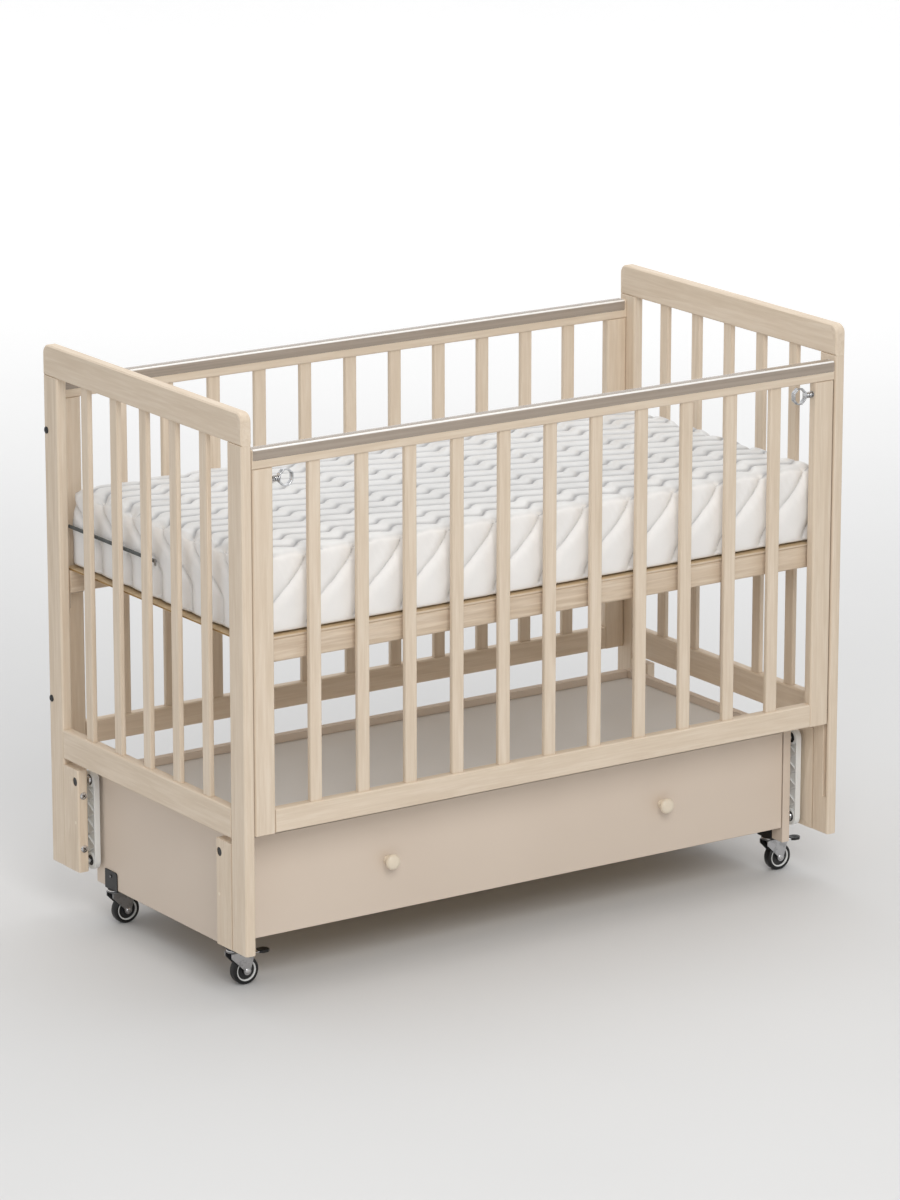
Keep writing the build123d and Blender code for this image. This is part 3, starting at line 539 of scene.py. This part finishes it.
def roundedLoop(corners, radii, steps=6):
    # The outline through convex corners, each rounded by its own radius.
    loop = []
    count = len(corners)
    for i, corner in enumerate(corners):
        here, before, after = Vector(corner), Vector(corners[i - 1]), Vector(corners[(i + 1) % count])
        a, b = (before - here).normalized(), (after - here).normalized()
        half = a.angle(b) / 2
        reach = radii[i] / math.tan(half)
        centre = here + (a + b).normalized() * radii[i] / math.sin(half)
        first, last = here + a * reach, here + b * reach
        if radii[i] < 1e-6:
            loop.append(tuple(here))
            continue
        start = math.atan2(*(reversed((first - centre)[:])))
        sweep = math.atan2(*(reversed((last - centre)[:]))) - start
        sweep = (sweep + math.pi) % (2 * math.pi) - math.pi
        for k in range(steps + 1):
            angle = start + sweep * k / steps
            loop.append((centre.x + radii[i] * math.cos(angle), centre.y + radii[i] * math.sin(angle)))
    return loop


def slotLoop(length, radius, steps=14):
    # A stadium outline that stands on end.
    top = [(radius * math.cos(math.pi * k / steps), length / 2 + radius * math.sin(math.pi * k / steps))
           for k in range(steps + 1)]
    return top + [(-x, -y) for x, y in top]


linkLook = {"pivotY": 0.239, "topZ": 0.2595, "bottomZ": 0.1115, "inner": 0.584, "outer": 0.595,
            "radius": 0.0165, "wall": 0.0026, "web": 0.003, "ring": 0.0125, "bush": 0.0094, "bore": 0.00405,
            "rib": 0.0019, "ribStep": 0.0008, "bays": 8}


def buildLink(corner, look):
    sx, sy = corners[corner]
    low = min(sx * look["inner"], sx * look["outer"])
    thick = look["outer"] - look["inner"]
    midZ = (look["topZ"] + look["bottomZ"]) / 2
    length = look["topZ"] - look["bottomZ"]
    y = sy * look["pivotY"]
    eyes = [(low, y, look["topZ"]), (low, y, look["bottomZ"])]
    shape = Shape()
    inner = look["radius"] - look["wall"]
    shape.prism(slotLoop(length, look["radius"]), (low, y, midZ), (0, 1, 0), (0, 0, 1), thick,
                slotLoop(length, inner))
    shape.prism(slotLoop(length, inner + 0.0005), (low + (thick - look["web"]) / 2, y, midZ),
                (0, 1, 0), (0, 0, 1), look["web"])
    for eye in eyes:
        shape.lathe([(look["bush"], 0), (look["ring"] + 0.0012, 0), (look["ring"] + 0.0012, thick),
                     (look["bush"], thick)], eye, (1, 0, 0), 44, True)
    step = (length - 2 * look["ring"]) / look["bays"]
    for i in range(look["bays"]):
        lean = inner if i % 2 else -inner
        a = Vector((-lean, -length / 2 + look["ring"] + i * step))
        b = Vector((lean, a.y + step))
        off = (b - a).normalized().orthogonal() * look["rib"] / 2
        outline = [a - off, b - off, b + off, a + off]
        shape.prism([tuple(p) for p in outline], (low + look["ribStep"], y, midZ), (0, 1, 0), (0, 0, 1),
                    thick - 2 * look["ribStep"])
    shape.piece(f"link_{corner}_moulding", [whitePlastic], f"link_{corner}", "white_plastic",
                [f"link_{corner}"], 0.0005)
    bushes = Shape()
    for eye in eyes:
        bushes.lathe([(look["bore"], 0.0006), (look["bore"] + 0.001, 0), (look["bush"], 0),
                      (look["bush"], thick), (look["bore"] + 0.001, thick), (look["bore"], thick - 0.0006)],
                     eye, (1, 0, 0), 40, True)
    bushes.piece(f"link_{corner}_bushes", [blackPlastic], f"link_{corner}", "black_plastic", (), 0.0003)


for corner in corners:
    buildLink(corner, linkLook)

pivotLook = {"shaft": 0.0040, "sunk": 0.008, "head": 0.0068, "washer": 0.0078, "washerThick": 0.0012,
             "nut": 0.0062, "nutThick": 0.0042, "upperFace": 0.577, "lowerFace": 0.603}


def buildPivots(name, faceX, headSide, z, body, stands, look):
    # A bolt through each eye: a nut against the wood, the shaft, a washer and a domed head.
    shape = Shape()
    for sx, sy in corners.values():
        seat = (sx * faceX, sy * linkLook["pivotY"], z)
        out = sx * headSide
        gap = (linkLook["inner"] - faceX) if headSide > 0 else (faceX - linkLook["outer"])
        through = gap + linkLook["outer"] - linkLook["inner"] + 0.0003
        along = (out, 0, 0)
        shaft = [(0, -look["sunk"]), (look["shaft"], -look["sunk"]), (look["shaft"], through), (0, through)]
        shape.lathe(shaft, seat, along, 28)
        r = look["nut"]
        nut = [(r * math.cos(k * math.pi / 3), r * math.sin(k * math.pi / 3)) for k in range(6)]
        shape.prism(nut, seat, (0, out, 0), (0, 0, 1), look["nutThick"])
        top = through + look["washerThick"]
        shape.lathe([(look["shaft"], through), (look["washer"], through), (look["washer"], top),
                     (look["shaft"], top)], seat, along, 32, True)
        dome = [(0, top), (look["head"], top), (look["head"], top + 0.0008), (look["head"] * 0.9, top + 0.0019),
                (look["head"] * 0.62, top + 0.0027), (0.0022, top + 0.0029), (0.0018, top + 0.0016),
                (0, top + 0.0016)]
        shape.lathe(dome, seat, along, 32)
    shape.piece(name, [steel], body, "steel", stands, 0.0002)


buildPivots("upperPivots", pivotLook["upperFace"], 1, linkLook["topZ"], "stand", ["upper_pivot_bolts"],
            pivotLook)
buildPivots("lowerPivots", pivotLook["lowerFace"], -1, linkLook["bottomZ"], "crib", ["lower_pivot_bolts"],
            pivotLook)
print("pendulum links made")

knobLook = {"spacing": 0.580, "z": 0.188, "y": -0.248,
            "profile": [(0.0, 0.0), (8.2, 0.0), (8.0, 1.2), (7.2, 3.0), (6.9, 6.0), (7.1, 9.0), (8.4, 11.6),
                        (11.2, 13.4), (13.3, 14.6), (14.0, 16.4), (13.9, 18.6), (13.0, 20.8), (11.0, 22.5),
                        (8.0, 23.5), (4.0, 23.95), (0.0, 24.0)]}


def buildKnobs(look):
    shape = Shape()
    for sx in sides:
        origin = (sx * look["spacing"] / 2, look["y"], look["z"])
        shape.lathe([(r * mm, h * mm) for r, h in look["profile"]], origin, (0, -1, 0), 48)
    made = shape.piece("drawerKnobs", [creamPlastic], "drawer", "cream_plastic", ["drawer_knobs"], smooth=60)
    grow = made.modifiers.new("smooth", "SUBSURF")
    grow.levels = grow.render_levels = 1


buildKnobs(knobLook)

screwLook = {"radius": 0.0068, "height": 0.0029, "slot": 0.0015, "reach": 0.0038}
boltLook = {**screwLook, "radius": 0.0062, "height": 0.0025}
nutLook = {**screwLook, "radius": 0.0050, "height": 0.0012}
fixings = {"legX": 0.6125, "legY": 0.230, "legHeights": (0.138, 0.235), "boltX": 0.623, "boltY": 0.316,
           "boltHeights": (0.394, 0.877), "nutX": 0.563, "nutY": 0.3135, "peg": (0.623, 0.240, 0.185)}


def addScrew(shape, origin, along, look, cross=True):
    # A pan head with its cross recess as a darker inlay.
    r, h = look["radius"], look["height"]
    shape.look = 0
    head = [(0, 0), (r, 0), (r, h * 0.35), (r * 0.93, h * 0.68), (r * 0.72, h * 0.93), (r * 0.5, h), (0, h)]
    shape.lathe(head, origin, along, 28)
    shape.look = 1
    w = Vector(along)
    u = w.orthogonal().normalized()
    v = w.cross(u)
    half = look["slot"] / 2
    reach = look["reach"] if cross else r * 0.8
    outline = [(-reach, -half), (reach, -half), (reach, half), (-reach, half)]
    for a, b in ((u, v), (v, u)) if cross else ((v, u),):
        depth = 0.0004 if a.cross(b).dot(w) > 0 else -0.0004
        shape.prism(outline, Vector(origin) + w * (h - 0.0003), a, b, depth)
    shape.look = 0


def buildScrews(look):
    legs, bolts, nuts, pegs = Shape(), Shape(), Shape(), Shape()
    for sx, sy in corners.values():
        for z in look["legHeights"]:
            addScrew(legs, (sx * look["legX"], sy * look["legY"], z), (0, -sy, 0), screwLook)
    for sx in sides:
        for z in look["boltHeights"]:
            addScrew(bolts, (sx * look["boltX"], look["boltY"], z), (sx, 0, 0), boltLook)
            addScrew(nuts, (sx * look["nutX"], look["nutY"], z), (-sx, 0, 0), nutLook, False)
    # The ends of the pegs show as small dimples.
    for sx, sy in corners.values():
        x, y, z = look["peg"]
        seat = (sx * x, sy * y, z)
        ring = [(0.0022, 0.0), (0.0031, 0.0), (0.0031, 0.00025), (0.0027, 0.0003), (0.0022, 0.0001)]
        pegs.lathe(ring, seat, (sx, 0, 0), 24, True)
        pegs.lathe([(0, 0.0), (0.0023, 0.0), (0.0023, 0.00008), (0, 0.00008)], seat, (sx, 0, 0), 24)
    legs.piece("legScrews", [steel, blackPlastic], "crib", "steel")
    bolts.piece("sideBolts", [hubPlastic, blackPlastic], "crib", "steel")
    nuts.piece("sideNuts", [hubPlastic, blackPlastic], "crib", "steel")
    pegs.piece("pegHoles", [creamPlastic], "crib", "cream_plastic")


buildScrews(fixings)

latchLook = {"outerX": 0.545, "width": 0.027, "height": 0.030, "band": 0.0026, "depth": 0.009, "z": 0.909,
             "y": -0.3135, "cut": 0.0085, "pin": 0.0040, "tip": 0.611}


def buildLatch(sx, look):
    side = "left" if sx < 0 else "right"
    x0, x1 = sx * (look["outerX"] - look["width"]), sx * look["outerX"]
    low, high = min(x0, x1), max(x0, x1)
    z0, z1 = look["z"] - look["height"] / 2, look["z"] + look["height"] / 2
    shape = Shape()

    def octagon(inset):
        c = look["cut"] - inset * 0.586
        a, b, d, e = low + inset, high - inset, z0 + inset, z1 - inset
        return [(a + c, d), (b - c, d), (b, d + c), (b, e - c), (b - c, e), (a + c, e), (a, e - c), (a, d + c)]

    outer = roundedLoop(octagon(0), [0.0045] * 8, 5)
    inner = roundedLoop(octagon(look["band"]), [0.0022] * 8, 5)
    shape.prism(outer, (0, look["y"] + look["depth"] / 2, 0), (1, 0, 0), (0, 0, 1), look["depth"], inner)
    reach = look["tip"] - look["outerX"] + 0.001
    pin = look["pin"]
    profile = [(0, 0), (pin, 0), (pin, reach - 0.0008), (pin - 0.0008, reach), (0, reach)]
    shape.lathe(profile, (sx * (look["outerX"] - 0.001), look["y"], look["z"]), (sx, 0, 0), 28)
    shape.piece(f"latch_{side}_ring", [chrome], f"latch_{side}", "chrome", [f"latch_{side}"], 0.0004)


coilLook = {"from": 0.5609, "to": 0.5455, "turns": 4.5, "radius": 0.0052, "wire": 0.00062}


def buildCoils(look):
    shape = Shape()
    steps = 26
    count = int(look["turns"] * steps)
    for sx in sides:
        path = []
        for i in range(count + 1):
            share = i / count
            flat = min(1, max(0, (share - 0.06) / 0.88))  # closed end turns
            a = 2 * math.pi * look["turns"] * share
            x = sx * (look["from"] + (look["to"] - look["from"]) * flat)
            path.append((x, latchLook["y"] + look["radius"] * math.cos(a),
                         latchLook["z"] + look["radius"] * math.sin(a)))
        shape.tube(path, look["wire"], 8)
    shape.piece("latchCoils", [steel], "drop_side", "steel", ["latch_springs"])


for sx in sides:
    buildLatch(sx, latchLook)
buildCoils(coilLook)
print("latches and screws made")

casterLook = {
    "axisX": 0.569, "axisY": 0.1985, "trail": 0.019, "wheel": 0.025, "width": 0.018, "shoeLow": 0.065,
    "shoeHigh": 0.100, "shoeSheet": 0.002, "board": 0.016, "shoeWidth": 0.041, "shoeShift": 0.0015,
    "race": 0.0145, "raceLow": 0.0622, "sheet": 0.002, "cheek": 0.010, "boss": 0.0072, "crownBack": 0.012,
    "crownFront": 0.033, "crownHalf": 0.012, "pedalReach": 0.029, "pedalZ": 0.053,
}
shoeScrew = {**screwLook, "radius": 0.0034, "height": 0.0014, "reach": 0.002, "slot": 0.0007}


def buildShoes(look):
    shape = Shape()
    for sx, sy in corners.values():
        x, y = sx * look["axisX"], sy * (look["axisY"] - look["shoeShift"])
        half = look["board"] / 2
        inner, outer = y - sy * look["shoeWidth"] / 2, y + sy * look["shoeWidth"] / 2
        for side in sides:
            loop = roundedLoop([(outer, look["shoeLow"]), (outer, look["shoeHigh"]), (inner, look["shoeHigh"]),
                                (inner, look["shoeLow"])], [0, 0.0012, 0.006, 0], 5)
            start = x + side * half if side > 0 else x - half - look["shoeSheet"]
            shape.prism(loop, (start, 0, 0), (0, 1, 0), (0, 0, 1), look["shoeSheet"])
            shape.look = 1
            addScrew(shape, (x + side * (half + look["shoeSheet"]), y, 0.090), (side, 0, 0), shoeScrew)
            shape.look = 0
        shape.box((x - half, min(inner, outer), look["shoeLow"]),
                  (x + half, max(inner, outer), look["shoeLow"] + look["shoeSheet"]))
        shape.look = 1
        r, z = look["race"], look["shoeLow"]
        race = [(0, 0), (r * 0.94, 0), (r, 0.0006), (r, 0.0020), (r * 0.94, 0.0027), (0.004, 0.0028),
                (0.004, 0.0054), (0, 0.0054)]
        shape.lathe(race, (x, sy * look["axisY"], z), (0, 0, -1), 40)
        shape.look = 0
    shape.piece("casterShoes", [blackPlastic, steel], "stand", "black_plastic", ["caster_shoes"], 0.0003)


def buildFork(corner, look):
    sx, sy = corners[corner]
    x, y = sx * look["axisX"], sy * look["axisY"]
    wheelX = x + look["trail"]
    shape = Shape()
    top = look["raceLow"] - 0.0003
    # The crown plate, dished round the race, then both cheeks.
    dish = [(0.00405, 0), (0.0125, 0), (0.0150, 0.0012), (0.0152, 0.0022), (0.0120, 0.0022), (0.00405, 0.0020)]
    shape.lathe(dish, (x, y, top - 0.0022), (0, 0, 1), 40, True)
    back, front, half = x - look["crownBack"], x + look["crownFront"], look["crownHalf"]
    crown = roundedLoop([(back, y - half), (front, y - half), (front, y + half), (back, y + half)],
                        [0.009, 0.003, 0.003, 0.009], 6)
    hole = [(x + 0.006 * math.cos(a), y + 0.006 * math.sin(a)) for a in
            [math.atan2(v - y, u - x) for u, v in crown]]
    shape.prism(crown, (0, 0, top - 0.0021), (1, 0, 0), (0, 1, 0), 0.0018, hole)
    boss = look["boss"]
    for side in sides:
        outline = [(wheelX + boss * math.cos(math.radians(a)), look["wheel"] + boss * math.sin(math.radians(a)))
                   for a in range(-200, 21, 20)]
        outline += [(front, top - 0.010), (front, top - 0.0021), (back, top - 0.0021), (back, top - 0.010)]
        start = y + side * look["cheek"] if side < 0 else y + side * (look["cheek"] + look["sheet"])
        shape.prism(outline, (0, start, 0), (1, 0, 0), (0, 0, 1), look["sheet"])
        shape.look = 1
        seat = (wheelX, y + side * (look["cheek"] + look["sheet"]), look["wheel"])
        shape.lathe([(0, 0), (0.0048, 0), (0.0048, 0.0006), (0.0038, 0.0014), (0.0020, 0.0017), (0, 0.0017)],
                    seat, (0, side, 0), 28)
        shape.look = 0
    shape.look = 1
    axle = [(0, -0.0105), (0.0030, -0.0105), (0.0030, 0.0105), (0, 0.0105)]
    shape.lathe(axle, (wheelX, y, look["wheel"]), (0, 1, 0), 24)
    if sy < 0:
        pin = [(0, -0.0125), (0.0015, -0.0125), (0.0015, 0.0125), (0, 0.0125)]
        shape.lathe(pin, (x + look["pedalReach"], y, look["pedalZ"]), (0, 1, 0), 16)
    shape.piece(f"fork_{corner}_plates", [zinc, steel], f"fork_{corner}", "steel", [f"fork_{corner}"], 0.0004)


def buildWheel(corner, look):
    sx, sy = corners[corner]
    origin = (sx * look["axisX"] + look["trail"], sy * look["axisY"], look["wheel"])
    shape = Shape()
    tread = [(18.9, -8.0), (19.6, -8.6), (21.6, -8.9), (23.4, -8.2), (24.5, -6.6), (25.0, -4.2), (25.0, 4.2),
             (24.5, 6.6), (23.4, 8.2), (21.6, 8.9), (19.6, 8.6), (18.9, 8.0)]
    shape.lathe([(r * mm, h * mm) for r, h in tread], origin, (0, 1, 0), 64, True)
    shape.look = 1
    band = [(16.4, -7.0), (16.9, -7.9), (18.3, -8.2), (19.0, -7.6), (19.0, 7.6), (18.3, 8.2), (16.9, 7.9),
            (16.4, 7.0)]
    shape.lathe([(r * mm, h * mm) for r, h in band], origin, (0, 1, 0), 64, True)
    shape.look = 2
    core = [(3.06, -8.6), (6.6, -8.6), (7.2, -7.8), (7.6, -5.2), (12.0, -4.6), (16.5, -5.4), (16.5, 5.4),
            (12.0, 4.6), (7.6, 5.2), (7.2, 7.8), (6.6, 8.6), (3.06, 8.6)]
    shape.lathe([(r * mm, h * mm) for r, h in core], origin, (0, 1, 0), 64, True)
    shape.piece(f"wheel_{corner}_tyre", [blackRubber, whitePlastic, hubPlastic], f"wheel_{corner}", "wheel",
                [f"wheel_{corner}"], smooth=50)


def buildPedal(corner, look):
    sx, sy = corners[corner]
    x, y, z = sx * look["axisX"] + look["pedalReach"], sy * look["axisY"], look["pedalZ"]
    shape = Shape()
    sleeve = [(1.55, -9.6), (3.1, -9.6), (3.1, 9.6), (1.55, 9.6)]
    shape.lathe([(r * mm, h * mm) for r, h in sleeve], (x, y, z), (0, 1, 0), 28, True)
    lever = roundedLoop([(x + 0.002, y - 0.0075), (x + 0.018, y - 0.006), (x + 0.020, y + 0.006),
                         (x + 0.002, y + 0.0075)], [0.001] * 4, 3)
    shape.prism(lever, (0, 0, z - 0.001), (1, 0, 0), (0, 1, 0), 0.002)
    shape.look = 1
    a, b = x + 0.018, x + 0.039
    pad = roundedLoop([(a, y - 0.006), (a + 0.005, y - 0.010), (b - 0.006, y - 0.010), (b, y - 0.004),
                       (b, y + 0.004), (b - 0.006, y + 0.010), (a + 0.005, y + 0.010), (a, y + 0.006)],
                      [0.0025] * 8, 4)
    shape.prism(pad, (0, 0, z - 0.0025), (1, 0, 0), (0, 1, 0), 0.0046)
    for k in range(4):
        u = a + 0.006 + k * 0.0032
        shape.box((u, y - 0.0070, z + 0.0019), (u + 0.0014, y + 0.0070, z + 0.0026))
    shape.piece(f"pedal_{corner}_lever", [chrome, blackPlastic], f"brake_pedal_{corner}", "brake_lever",
                [f"brake_pedal_{corner}"], 0.0004)


buildShoes(casterLook)
for corner in corners:
    buildFork(corner, casterLook)
    buildWheel(corner, casterLook)
    if corners[corner][1] < 0:
        buildPedal(corner, casterLook)
print("casters made")

quilt = {
    "length": 1.200, "width": 0.600, "low": 0.634, "high": 0.778, "cell": 0.010, "topRadius": 0.016,
    "lowRadius": 0.004, "slack": 0.003, "pressure": 4.0, "cap": 0.005, "pitchX": 0.0945, "pitchY": 0.100,
    "sideDepth": 0.0125, "sideReach": 0.028, "rowPitch": 0.042, "rowWave": 0.010, "topDepth": 0.0085,
    "longBend": (0.06, 0.95), "endBend": (0.08, 0.66), "dip": 0.011, "endDip": 0.018, "endDepth": 0.016,
    "crease": 0.0006, "limitX": 0.6015, "limitY": 0.3020, "railEdge": 0.2974, "railTop": 0.6302, "hang": 0.030,
    "zipZ": 0.708, "zipFrom": -0.004, "zipTo": 0.290, "pull": (-0.012, -0.006),
}


def roundedBlock(look):
    # A block on an even grid of cells whose edges are rounded, tighter at the foot than at the top.
    halves = np.array([look["length"] / 2, look["width"] / 2, (look["high"] - look["low"]) / 2]) - look["slack"]
    middle = np.array([0, 0, (look["high"] + look["low"]) / 2])
    counts = np.maximum(2, np.round(2 * halves / look["cell"]).astype(int))
    shape = Shape()
    for axis in range(3):
        u, v = (axis + 1) % 3, (axis + 2) % 3
        for side in sides:
            grid = np.zeros((counts[u] + 1, counts[v] + 1, 3))
            grid[..., axis] = side * halves[axis]
            grid[..., u] = np.linspace(-halves[u], halves[u], counts[u] + 1)[:, None]
            grid[..., v] = np.linspace(-halves[v], halves[v], counts[v] + 1)[None, :]
            rows, columns = counts[v] + 1, counts[u]
            faces = [(i * rows + k, (i + 1) * rows + k, (i + 1) * rows + k + 1, i * rows + k + 1)
                     for i in range(columns) for k in range(counts[v])]
            shape.add(grid.reshape(-1, 3), faces)
    points = np.array(shape.points)
    share = (points[:, 2:] / halves[2] + 1) / 2
    radius = look["lowRadius"] + (look["topRadius"] - look["lowRadius"]) * share
    core = np.clip(points, radius - halves, halves - radius)
    out = points - core
    span = np.maximum(np.linalg.norm(out, axis=1, keepdims=True), 1e-9)
    shape.points = [tuple(p) for p in core + out / span * np.minimum(span, radius) + middle]
    mesh = bpy.data.meshes.new("mattressQuilt")
    mesh.from_pydata(shape.points, [], shape.faces)
    tidy = bmesh.new()
    tidy.from_mesh(mesh)
    bmesh.ops.remove_doubles(tidy, verts=tidy.verts, dist=1e-5)
    bmesh.ops.recalc_face_normals(tidy, faces=tidy.faces)
    tidy.to_mesh(mesh)
    tidy.free()
    return mesh


def places(mesh, what="co"):
    values = np.zeros(len(mesh.vertices) * 3)
    mesh.vertices.foreach_get(what, values)
    return values.reshape(-1, 3)


def settle(piece, modifier):
    bpy.context.view_layer.objects.active = piece
    piece.select_set(True)
    bpy.ops.object.modifier_apply(modifier=modifier.name)


def makeQuilt(look):
    pad = bpy.data.objects.new("mattressQuilt", roundedBlock(look))
    bpy.context.scene.collection.objects.link(pad)
    start = places(pad.data)
    cloth = pad.modifiers.new("fill", "CLOTH")
    cloth.settings.use_pressure = True
    cloth.settings.uniform_pressure_force = look["pressure"]
    cloth.settings.effector_weights.gravity = 0
    for number in range(1, 21):
        bpy.context.scene.frame_set(number)
    settle(pad, cloth)
    bpy.context.scene.frame_set(1)
    move = places(pad.data) - start
    reach = np.maximum(np.linalg.norm(move, axis=1, keepdims=True), 1e-9)
    pad.data.vertices.foreach_set("co", (start + move * np.minimum(1, look["cap"] / reach)).ravel())
    fine = pad.modifiers.new("finer", "SUBSURF")
    fine.levels = 2
    settle(pad, fine)
    sew(pad.data, look)
    pad.data.materials.append(ticking)
    pad.data.polygons.foreach_set("use_smooth", [True] * len(pad.data.polygons))
    return pad


def softStep(value, low, high):
    share = np.clip((value - low) / (high - low), 0, 1)
    return share * share * (3 - 2 * share)


def pillow(distance, reach):
    # The height over a seam as a share of full height: steep beside the stitches, level in the middle.
    share = np.clip(distance / reach, 0, 1)
    return np.sqrt(1 - (1 - share) ** 2)


def bandSeam(along, height, pitch, bend):
    # How far a point of a side band lies from the nearest seam, each an S from one notch to the next.
    place = along / pitch - softStep(height, *bend)
    return np.abs(place - np.round(place)) * pitch


def sew(mesh, look):
    co, normal = places(mesh), places(mesh, "normal")
    x, y, z = co.T
    height = (z - look["low"]) / (look["high"] - look["low"])
    longSide, endSide = normal[:, 1] ** 2, normal[:, 0] ** 2
    upper = np.where(normal[:, 2] > 0, normal[:, 2] ** 2, 0)
    notch = softStep(z, 0.70, 0.76)
    long = 1 - pillow(bandSeam(x, height, look["pitchX"], look["longBend"]), look["sideReach"])
    end = 1 - pillow(bandSeam(-look["width"] / 2 - y, 1 - height, look["pitchY"], look["endBend"]),
                     look["sideReach"])
    depth = look["sideDepth"] * long * longSide + look["endDepth"] * end * endSide
    # The top cloth is sewn in waved rows that die out beside the edge.
    turn = 2 * np.pi * x / look["pitchX"]
    row = (y - look["rowWave"] * np.sin(turn + 0.6 * np.sin(turn))) / look["rowPitch"]
    gap = np.abs(row - np.round(row)) * look["rowPitch"]
    edge = np.minimum(look["length"] / 2 - np.abs(x), look["width"] / 2 - np.abs(y))
    inside = softStep(edge, 0.010, 0.040)
    rows = 1 - pillow(gap, look["rowPitch"] * 0.5)
    depth += upper * look["topDepth"] * rows * (0.35 + 0.65 * inside)
    # The shader paints shade into the seams and a painted highlight onto the crests by this value.
    crest = 1 - np.clip(long * longSide + end * endSide + rows * upper, 0, 1)
    mesh.attributes.new("crest", "FLOAT", "POINT").data.foreach_set("value", crest)
    # Beside the edge the top dips towards each notch of the bands.
    fall = upper * (1 - softStep(edge, 0.0, 0.045))
    nearLong = look["width"] / 2 - np.abs(y) < look["length"] / 2 - np.abs(x)
    longNotch = np.cos(np.pi * x / look["pitchX"]) ** 6
    endNotch = np.cos(np.pi * (y + look["width"] / 2) / look["pitchY"]) ** 6
    depth += fall * np.where(nearLong, look["dip"] * longNotch, look["endDip"] * endNotch)
    depth += 0.0015 * notch * (longSide + endSide)
    co = co - normal * depth[:, None]
    # Small creases run off the seams near the notches.
    crease = np.sin(x * 310 + 9 * height) * np.sin(x * 128 + 23 * height) * longSide
    crease += np.sin(y * 290 + 8 * height) * np.sin(y * 120 + 19 * height) * endSide
    co += normal * (look["crease"] * crease * softStep(height, 0.25, 0.85))[:, None]
    # The foot of the long sides hangs over the rails.
    foot = softStep(look["low"] - co[:, 2], -look["hang"], -0.001)
    co[:, 2] -= (np.abs(co[:, 1]) > look["railEdge"]) * foot * (look["low"] - look["railTop"])
    co[:, 0] = np.clip(co[:, 0], -look["limitX"], look["limitX"])
    co[:, 1] = np.clip(co[:, 1], -look["limitY"], look["limitY"])
    mesh.vertices.foreach_set("co", co.ravel())
    mesh.update()


mattress = makeQuilt(quilt)
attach(mattress, "crib")
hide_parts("mattress")
print("mattress quilted")


def buildZip(look):
    shape = Shape()
    x = -look["length"] / 2 + 0.0005
    z = look["zipZ"]
    shape.box((x - 0.0016, look["zipFrom"], z - 0.0022), (x + 0.004, look["zipTo"], z + 0.0022))
    shape.look = 1
    shape.box((x - 0.0030, look["pull"][0], z - 0.006), (x - 0.0014, look["pull"][1], z + 0.006))
    shape.piece("mattressZip", [zipTape, zinc], "crib", "quilt", (), 0.0003)


buildZip(quilt)
